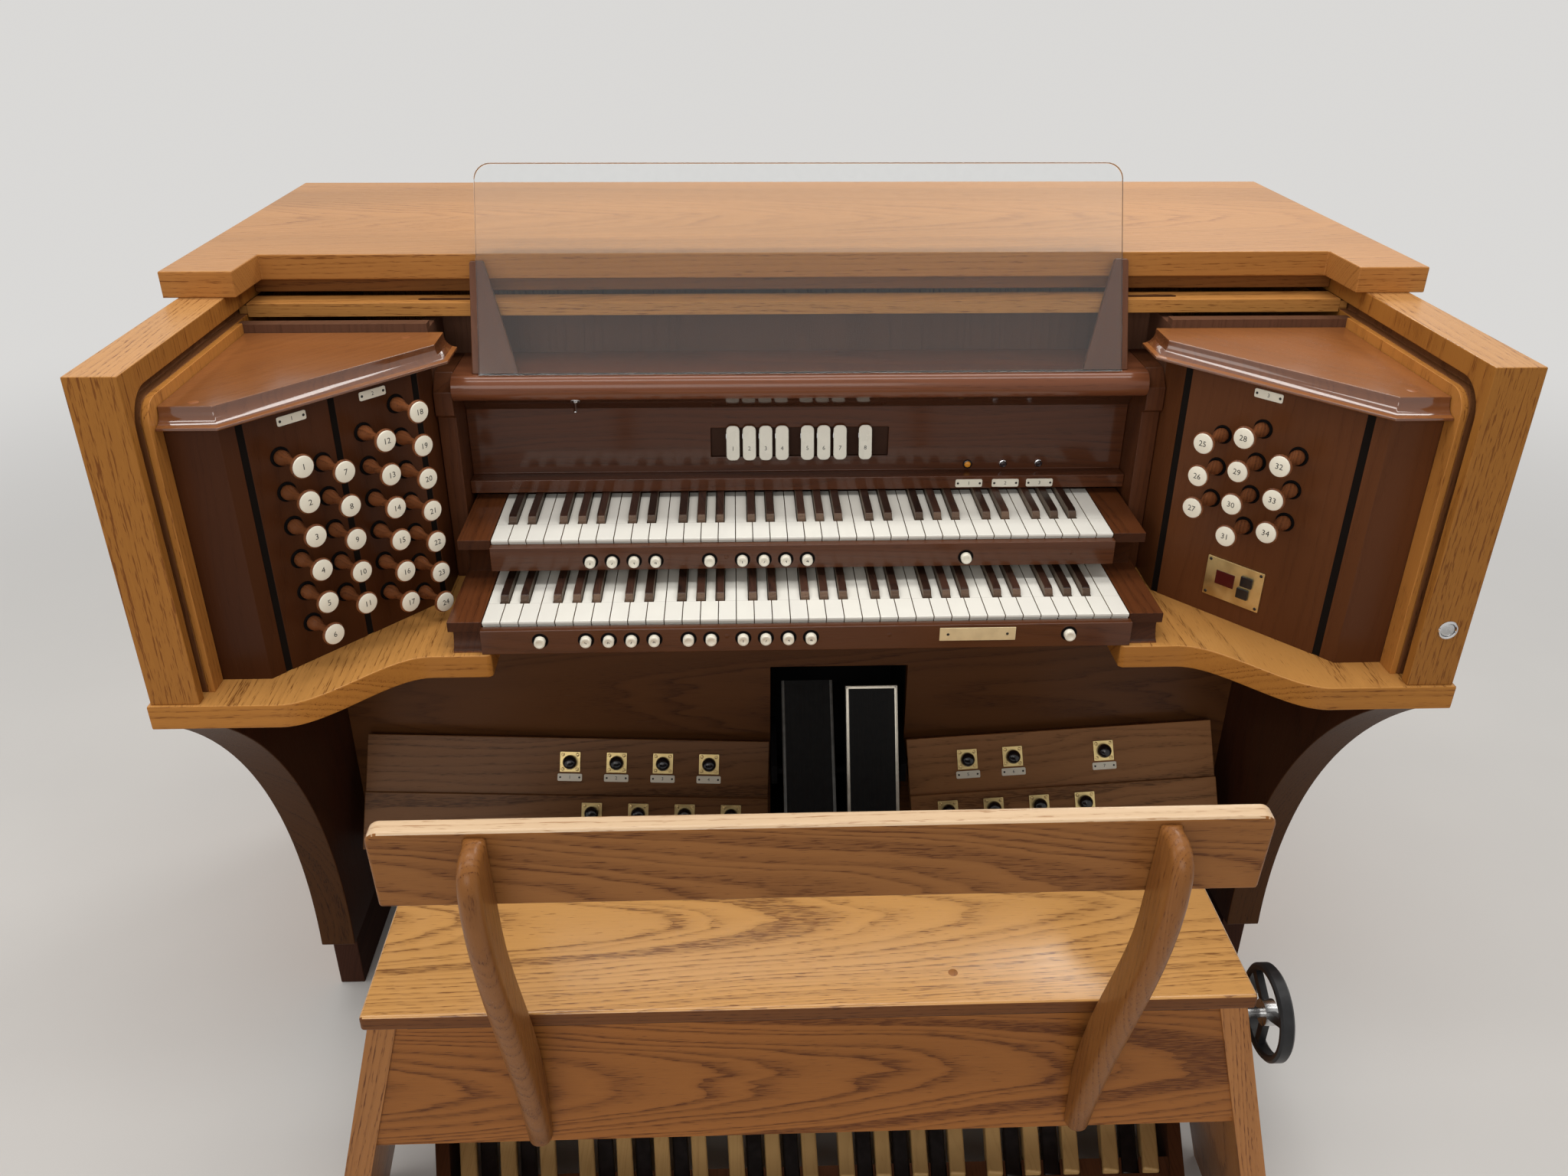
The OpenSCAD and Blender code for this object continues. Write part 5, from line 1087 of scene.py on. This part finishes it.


# Pedalboard
# Long maple pedals fan out from behind the bench and rise to both sides, held in a stained frame.
# The sharps stand between them with black caps above the naturals at the toe end, and their sticks are black too as
# painted shade between the naturals.
def fan_tree(name):
    """Sticks set out along a fan in a hollow arc; slot counts them from the middle one."""
    tree = bpy.data.node_groups.new(name, "GeometryNodeTree")
    face = tree.interface
    face.new_socket("Slots", in_out="INPUT", socket_type="NodeSocketGeometry")
    face.new_socket("Stick", in_out="INPUT", socket_type="NodeSocketObject")
    for label in ("Pitch", "Radius", "Centre Y", "Low Z"):
        face.new_socket(label, in_out="INPUT", socket_type="NodeSocketFloat")
    face.new_socket("Material", in_out="INPUT", socket_type="NodeSocketMaterial")
    face.new_socket("Geometry", in_out="OUTPUT", socket_type="NodeSocketGeometry")
    given = tree.nodes.new("NodeGroupInput").outputs
    slot = wire(tree, "GeometryNodeInputNamedAttribute", {"Name": "slot"}, data_type="FLOAT").outputs[0]
    aside = calc(tree, "MULTIPLY", slot, given["Pitch"])
    chord = calc(tree, "SUBTRACT", calc(tree, "MULTIPLY", given["Radius"], given["Radius"]),
                 calc(tree, "MULTIPLY", aside, aside))
    rise = calc(tree, "SUBTRACT", given["Radius"], calc(tree, "SQRT", chord))
    here = wire(tree, "ShaderNodeCombineXYZ", {1: given["Centre Y"], 2: calc(tree, "ADD", rise, given["Low Z"])})
    points = wire(tree, "GeometryNodeSetPosition", {"Geometry": given["Slots"], "Position": here.outputs[0]})
    turn = wire(tree, "ShaderNodeCombineXYZ", {2: calc(tree, "DIVIDE", calc(tree, "MULTIPLY", aside, -1.0),
                                                       given["Radius"])}).outputs[0]
    turn = wire(tree, "FunctionNodeEulerToRotation", {0: turn}).outputs[0]
    stick = wire(tree, "GeometryNodeObjectInfo", {"Object": given["Stick"]}).outputs["Geometry"]
    out = wire(tree, "ShaderNodeCombineXYZ", {1: given["Radius"]}).outputs[0]
    stick = wire(tree, "GeometryNodeTransform", {"Geometry": stick, "Translation": out}).outputs[0]
    many = wire(tree, "GeometryNodeInstanceOnPoints", {"Points": points.outputs[0], "Instance": stick,
                                                       "Rotation": turn}).outputs[0]
    real = wire(tree, "GeometryNodeRealizeInstances", {"Geometry": many}).outputs[0]
    painted = wire(tree, "GeometryNodeSetMaterial", {"Geometry": real, "Material": given["Material"]})
    wire(tree, "NodeGroupOutput", {0: painted.outputs[0]})
    return tree


def outlined(name, outline, width, ease, steps=2):
    """A stick of this side outline, drawn in Y and Z, as wide as said about X = 0."""
    shape = bmesh.new()
    rows = [[shape.verts.new((x, y, z)) for y, z in outline] for x in (-width / 2, width / 2)]
    shape.faces.new(rows[0][::-1])
    shape.faces.new(rows[1])
    for i in range(len(outline)):
        j = (i + 1) % len(outline)
        shape.faces.new((rows[0][i], rows[0][j], rows[1][j], rows[1][i]))
    bmesh.ops.recalc_face_normals(shape, faces=shape.faces)
    mesh = bpy.data.meshes.new(name)
    shape.to_mesh(mesh)
    shape.free()
    piece = bpy.data.objects.new(name, mesh)
    scene.collection.objects.link(piece)
    return softened(piece, ease, steps)


pedal_pitch = 0.0635
pedal_radius = 2.591
pedal_width = 0.022
pedal_height = 0.030
pedal_heel = 0.500
pedal_toe = 0.165
pedal_drop = 0.749
pedals_behind_keys = 0.235
sharp_rise = 0.022
sharps_at = (0, 1, 3, 4, 5, 7, 8, 10, 11, 12, 14, 15, 17)
maple = timber("pedal_maple", (0.46, 0.285, 0.115), (0.32, 0.18, 0.065), (0, 0, 90), heart=(0.2, 0.4), ring=0.006,
               wander=0.02, contrast=0.4, pores=0.12, patch=0.15, gloss=0.32, coat=0.2)
# Black over the sharps' whole length: the caps are black, and the sticks are painted black as painted shade between
# the naturals.
sharp_black_and_shade = coated("pedal_sharp_black", (0.010, 0.008, 0.008), 0.32, mottle=0.25, shine=0.2)
fan = fan_tree("pedal_fan")
natural_outline = [(-pedal_heel, -pedal_height), (-pedal_heel, 0), (pedal_toe, 0), (pedal_toe, -pedal_height)]
sharp_outline = [(-pedal_heel, -pedal_height), (-pedal_heel, -0.008), (-0.030, -0.008), (0, 0.008), (0.006, 0.017),
                 (0.014, sharp_rise), (pedal_toe, sharp_rise - 0.004), (pedal_toe, -pedal_height)]
centre_y = (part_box("lower_naturals")[0].y + pedals_behind_keys) - pedal_radius
low_z = key_top - pedal_drop
for node, outline, finish, slots, slot_name, ease in (
        ("pedal_naturals", natural_outline, maple, range(-9, 10), "maple", 0.0035),
        ("pedal_sharps", sharp_outline, sharp_black_and_shade, [k - 8.5 for k in sharps_at], "rosewood", 0.003)):
    stick = outlined(node + "_stick", outline, pedal_width, ease, 3)
    mesh = bpy.data.meshes.new(node)
    mesh.from_pydata([(0, 0, 0)] * len(slots), [], [])
    for item, slot in zip(mesh.attributes.new("slot", "FLOAT", "POINT").data, slots):
        item.value = slot
    piece = bpy.data.objects.new(node + "_set", mesh)
    scene.collection.objects.link(piece)
    modifier = piece.modifiers.new("fan", "NODES")
    modifier.node_group = fan
    sizes = {"Stick": stick, "Pitch": pedal_pitch, "Radius": pedal_radius, "Centre Y": centre_y, "Low Z": low_z,
             "Material": finish}
    for item in fan.interface.items_tree:
        if item.in_out == "INPUT" and item.name in sizes:
            modifier[item.identifier] = sizes[item.name]
    settled(piece)
    if "slot" in piece.data.attributes:
        piece.data.attributes.remove(piece.data.attributes["slot"])
    bpy.data.objects.remove(stick)
    adopted(piece, slot_name, "root", node)
pedal_frame_wood = timber("pedal_frame_stain", (0.085, 0.032, 0.014), (0.042, 0.016, 0.008), (0, 0, 90),
                          contrast=0.5, pores=0.3, gloss=0.42, coat=0.1)
eased("pedal_frame", 0.0015, "dark_oak", [pedal_frame_wood])

# Bench
# A plain sawn oak bench on splayed ends, with a deep apron front and back and a low backrest.
# Two swept arms screwed behind the rear apron carry the backrest board.
seat_wood = timber("seat_oak", (0.55, 0.285, 0.090), (0.20, 0.085, 0.026), heart=(-0.42, 0.535), shift=0.15,
                   ring=0.0055, lean=0.055, wander=0.012, contrast=0.6, pores=0.65, gloss=0.14, coat=0.8,
                   open_grain=0.65)
# The seat's edges get a much darker oak than its top: painted shade on the edges.
seat_rim_painted_shade = timber("seat_edge_oak", (0.15, 0.055, 0.017), (0.06, 0.020, 0.006), (-90, 0, 0), heart=(0.2, 0.46),
                   ring=0.008, contrast=0.3, pores=0.6, coat=0.15)
eased("bench_seat", 0.004, "oak", [seat_wood, seat_rim_painted_shade], lambda centre, normal: int(abs(normal.z) < 0.3), steps=3)
apron_wood = timber("apron_oak", (0.32, 0.120, 0.029), (0.12, 0.038, 0.010), (-90, 0, 0), heart=(0.50, 0.46),
                    shift=0.35, ring=0.0075, lean=0.08, wander=0.016, contrast=0.85, pores=0.6, coat=0.12)
end_splay = 14.6
end_woods = [timber(name, (0.38, 0.160, 0.048), (0.14, 0.045, 0.012), (0, 90 + side * end_splay, 0),
                    heart=(-0.4, 0.9), ring=0.007, contrast=0.5)
             for side, name in ((-1, "bench_left_end_oak"), (1, "bench_right_end_oak"))]
seat_low, seat_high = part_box("bench_seat")
bench_middle = (seat_low.x + seat_high.x) / 2
apron_half = 0.44
apron_low = 0.38
apron_spread = 0.26


def bench_face(centre, normal):
    aside = centre.x - bench_middle
    reach = apron_half + (seat_low.z - centre.z) * apron_spread
    if abs(normal.y) > 0.9 and abs(aside) < reach and centre.z > apron_low:
        return 0
    return 1 if aside < 0 else 2


eased("bench_frame", 0.002, "oak", [apron_wood, *end_woods], bench_face)
back_rest_wood = timber("backrest_oak", (0.29, 0.120, 0.035), (0.11, 0.036, 0.010), (-90, 0, 0),
                        heart=(0.86, 0.50), ring=0.0055, lean=0.055, wander=0.014, contrast=0.8, coat=0.12)
# The top face gets a pale, near-white oak: a painted highlight of the ceiling lamps on the top.
back_rest_painted_highlight = timber("backrest_top_oak", (0.60, 0.43, 0.27), (0.30, 0.15, 0.06), heart=(0.86, 0.50),
                       ring=0.008, contrast=0.3, coat=0.5, gloss=0.15)
eased("backrest", 0.004, "oak", [back_rest_wood, back_rest_painted_highlight], lambda centre, normal: int(normal.z > 0.6),
      steps=3)
arm_wood = timber("arm_oak", (0.25, 0.098, 0.025), (0.12, 0.040, 0.011), upright, heart=(0.3, 0.6), ring=0.007,
                  contrast=0.45)
arm_half = 0.013
arm_rear_round = 0.0115
arm_front_round = 0.003
arm_straight = 0.2
arm_taper = 0.22
arm_flat = 0.0003
arm_steps = 6


def share(value):
    return min(1, max(0, value))


def carved_arms(node):
    """The swept arms of the CAD, rounded to a finger behind and tapered towards their tops."""
    sawn = bare_shape(node)
    sawn.normal_update()
    low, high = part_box(node)
    quarter = [math.pi / 2 * i / arm_steps for i in range(1, arm_steps + 1)]
    slices = [(-1, turn) for turn in reversed(quarter)] + [(-1, 0), (1, 0)] + [(1, turn) for turn in quarter]
    shape = bmesh.new()
    for face in sawn.faces:
        if face.normal.x < 0.9 or face.calc_area() < 0.01:
            continue
        line = [corner.co.copy() for corner in face.verts]
        middle = line[0].x - arm_half
        count = len(line)
        swept = []
        for i, here in enumerate(line):
            along = (line[(i + 1) % count] - line[i - 1]).normalized()
            out = Vector((0, along.z, -along.y))
            behind = share(0.5 - out.y * 2 + max(0, out.z - 0.6) * 2)
            rise = share((here.z - low.z - arm_straight) / (high.z - low.z - arm_straight))
            width = arm_half * (1 - arm_taper * rise * rise)
            radius = min(arm_front_round + (arm_rear_round - arm_front_round) * behind, width - arm_flat)
            swept.append((here, out, width, radius))
        rings = []
        for side, turn in slices:
            ring = []
            for here, out, width, radius in swept:
                place = here - out * radius * (1 - math.cos(turn))
                place.x = middle + side * (width - radius * (1 - math.sin(turn)))
                ring.append(shape.verts.new(place))
            rings.append(ring)
        for ring, after in zip(rings, rings[1:]):
            for i in range(count):
                j = (i + 1) % count
                shape.faces.new((ring[i], ring[j], after[j], after[i]))
        shape.faces.new(rings[0][::-1])
        shape.faces.new(rings[-1])
    sawn.free()
    bmesh.ops.recalc_face_normals(shape, faces=shape.faces)
    mesh = bpy.data.meshes.new(node + "_carved")
    shape.to_mesh(mesh)
    shape.free()
    for face in mesh.polygons:
        face.use_smooth = True
    mesh.materials.append(arm_wood)
    return placed(node + "_carved", mesh, "oak", "root", node)


carved_arms("backrest_arms")
# A thin dark strip on the apron just under the seat stands for the shadow line where seat meets apron: a painted
# shadow.
shade_strip_wood = timber("seat_bearer_stain", (0.060, 0.024, 0.009), (0.030, 0.011, 0.005), (-90, 0, 0), pores=0.3,
                     coat=0.05)
shade_strip_w = 0.884
shade_strip_h = 0.0165
shade_strip_t = 0.003
shade_strip_drop = 0.0085
frame_shape = bare_shape("bench_frame")
apron_y = min(face.calc_center_median().y for face in frame_shape.faces
              if face.normal.y < -0.9 and face.calc_area() > 0.02)
frame_shape.free()
shade_strip_place = (Vector((bench_middle, apron_y + 0.0002, seat_low.z - shade_strip_drop)), player, up)
made_from(plates, "seat_bearer", [shade_strip_place], shade_strip_wood, "dark_oak", ease=0.0008, Width=shade_strip_w,
          Height=shade_strip_h, Thickness=shade_strip_t, Corner=0.0004)
seat_plug = (Vector((0.142, -0.515, seat_high.z - plug_sunk)), up, -player)
seat_plug_wood = timber("seat_plug_oak", (0.30, 0.125, 0.040), (0.15, 0.055, 0.017), (0, 0, 90), ring=0.003)
made_from(plugs, "seat_plug", [seat_plug], seat_plug_wood, "oak", Radius=0.0055, Height=0.0006)

# Bench handwheel
# A black rimmed handwheel on a steel shaft through the bench's right end winds the seat up and down.
# Its friction holds the bench at the height it is left at.
wheel_black = coated("wheel_black", (0.012, 0.012, 0.013), 0.38, mottle=0.2, shine=0.3)
hub_metal = coated("hub_metal", (0.52, 0.52, 0.52), 0.25, 1.0, mottle=0.12)
wheel_low, wheel_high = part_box("bench_handwheel")
wheel_middle = (wheel_low + wheel_high) / 2
hub_reach = 0.018


def wheel_face(centre, normal):
    reach = math.hypot(centre.y - wheel_middle.y, centre.z - wheel_middle.z)
    return int(reach < (hair if abs(normal.x) > 0.9 else hub_reach))


eased("bench_handwheel", 0.0006, "dark_metal", [wheel_black, hub_metal], wheel_face, steps=1, body="bench_wheel")

# Lock
# A slotted steel lock cylinder in a chrome ring is let into the front of the right side board.
# It locks the roll top when it is drawn down.
lock_x = 0.777
lock_z = 0.900
lock_place = (Vector((lock_x, side_low.y - 0.0001, lock_z)), player, up)
lock_ring = turned_tree("lock_rings", [(0.72, 0), (0.72, 0.5), (0.8, 1), (0.92, 0.9), (1, 0.4), (1, 0)], 40)
made_from(lock_ring, "lock_ring", [lock_place], chrome, "dark_metal", Radius=0.0125, Height=0.0024)
made_from(screws, "lock_core", [lock_place], hub_metal, "dark_metal", Radius=0.0086, Height=0.0016, Slot=0.0018)


# Floor and light
# A wide pale floor under an even pale sky, lit by two long ceiling lamps and softer ones round them.
# Far from the object the floor shows one even tone, and near it keeps the shadow.
def eyes(tree):
    """1 for what the camera sees, also in a mirror or through glass, and 0 for light that falls on things."""
    path = wire(tree, "ShaderNodeLightPath").outputs
    return calc(tree, "MAXIMUM", path["Is Camera Ray"], calc(tree, "MAXIMUM", path["Is Glossy Ray"],
                                                             path["Is Transmission Ray"]))


backdrop_tone = (0.70, 0.69, 0.675, 1)
far = 120
shadow_to = 1.4
even_from = 5.0
floor_mesh = bpy.data.meshes.new("floor")
floor_mesh.from_pydata([(-far, -far, 0), (far, -far, 0), (far, far, 0), (-far, far, 0)], [], [(0, 1, 2, 3)])
floor_paint = coated("floor_paint", backdrop_tone[:3], 0.7, mottle=0.01, scale=3)
paint = floor_paint.node_tree
where = wire(paint, "ShaderNodeTexCoord").outputs["Object"]
reach = wire(paint, "ShaderNodeVectorMath", {0: where}, operation="LENGTH").outputs["Value"]
fade = wire(paint, "ShaderNodeMapRange", {"Value": reach, "From Min": shadow_to, "From Max": even_from},
            interpolation_type="SMOOTHSTEP").outputs["Result"]
flat_tone = wire(paint, "ShaderNodeEmission", {"Color": backdrop_tone, "Strength": 1.0})
lit = paint.nodes["Principled BSDF"].outputs[0]
even = calc(paint, "MULTIPLY", fade, eyes(paint))
mixed = wire(paint, "ShaderNodeMixShader", {0: even, 1: lit, 2: flat_tone.outputs[0]})
paint.links.new(mixed.outputs[0], paint.nodes["Material Output"].inputs["Surface"])
floor_mesh.materials.append(floor_paint)
floor = bpy.data.objects.new("floor", floor_mesh)
scene.collection.objects.link(floor)
sky_strength = 0.36
world = bpy.data.worlds.new("studio")
scene.world = world
world.use_nodes = True
sky = world.node_tree
sky_light = sky.nodes["Background"]
sky_light.inputs["Color"].default_value = (1, 0.98, 0.95, 1)
sky_light.inputs["Strength"].default_value = sky_strength
seen = wire(sky, "ShaderNodeBackground", {"Color": backdrop_tone, "Strength": 1.0})
mixed = wire(sky, "ShaderNodeMixShader", {0: eyes(sky), 1: sky_light.outputs[0], 2: seen.outputs[0]})
sky.links.new(mixed.outputs[0], sky.nodes["World Output"].inputs["Surface"])
for name, place, aim, size, watts in (
        ("ceiling_front", (0.0, -0.7, 3.2), (0, -0.2, 0.6), (3.2, 0.45), 27),
        ("ceiling_back", (0.0, 0.45, 3.2), (0, 0.2, 0.6), (3.2, 0.45), 30),
        ("front", (-0.6, -3.4, 2.2), (0, 0, 0.8), (2.6, 1.6), 40),
        ("rear", (1.3, 2.1, 2.9), (0.1, -0.2, 0.7), (1.0, 0.7), 22),
        ("left", (-3.2, -0.4, 2.0), (0, 0, 0.7), (1.6, 1.6), 14)):
    lamp = bpy.data.lights.new(name, "AREA")
    lamp.shape = "RECTANGLE"
    lamp.size, lamp.size_y = size
    lamp.energy = watts
    lamp.color = (1, 0.975, 0.94)
    holder = bpy.data.objects.new(name, lamp)
    scene.collection.objects.link(holder)
    away = Vector(place) - Vector(aim)
    holder.matrix_world = Matrix.Translation(place) @ away.to_track_quat("Z", "Y").to_matrix().to_4x4()
scene.view_settings.view_transform = "Standard"
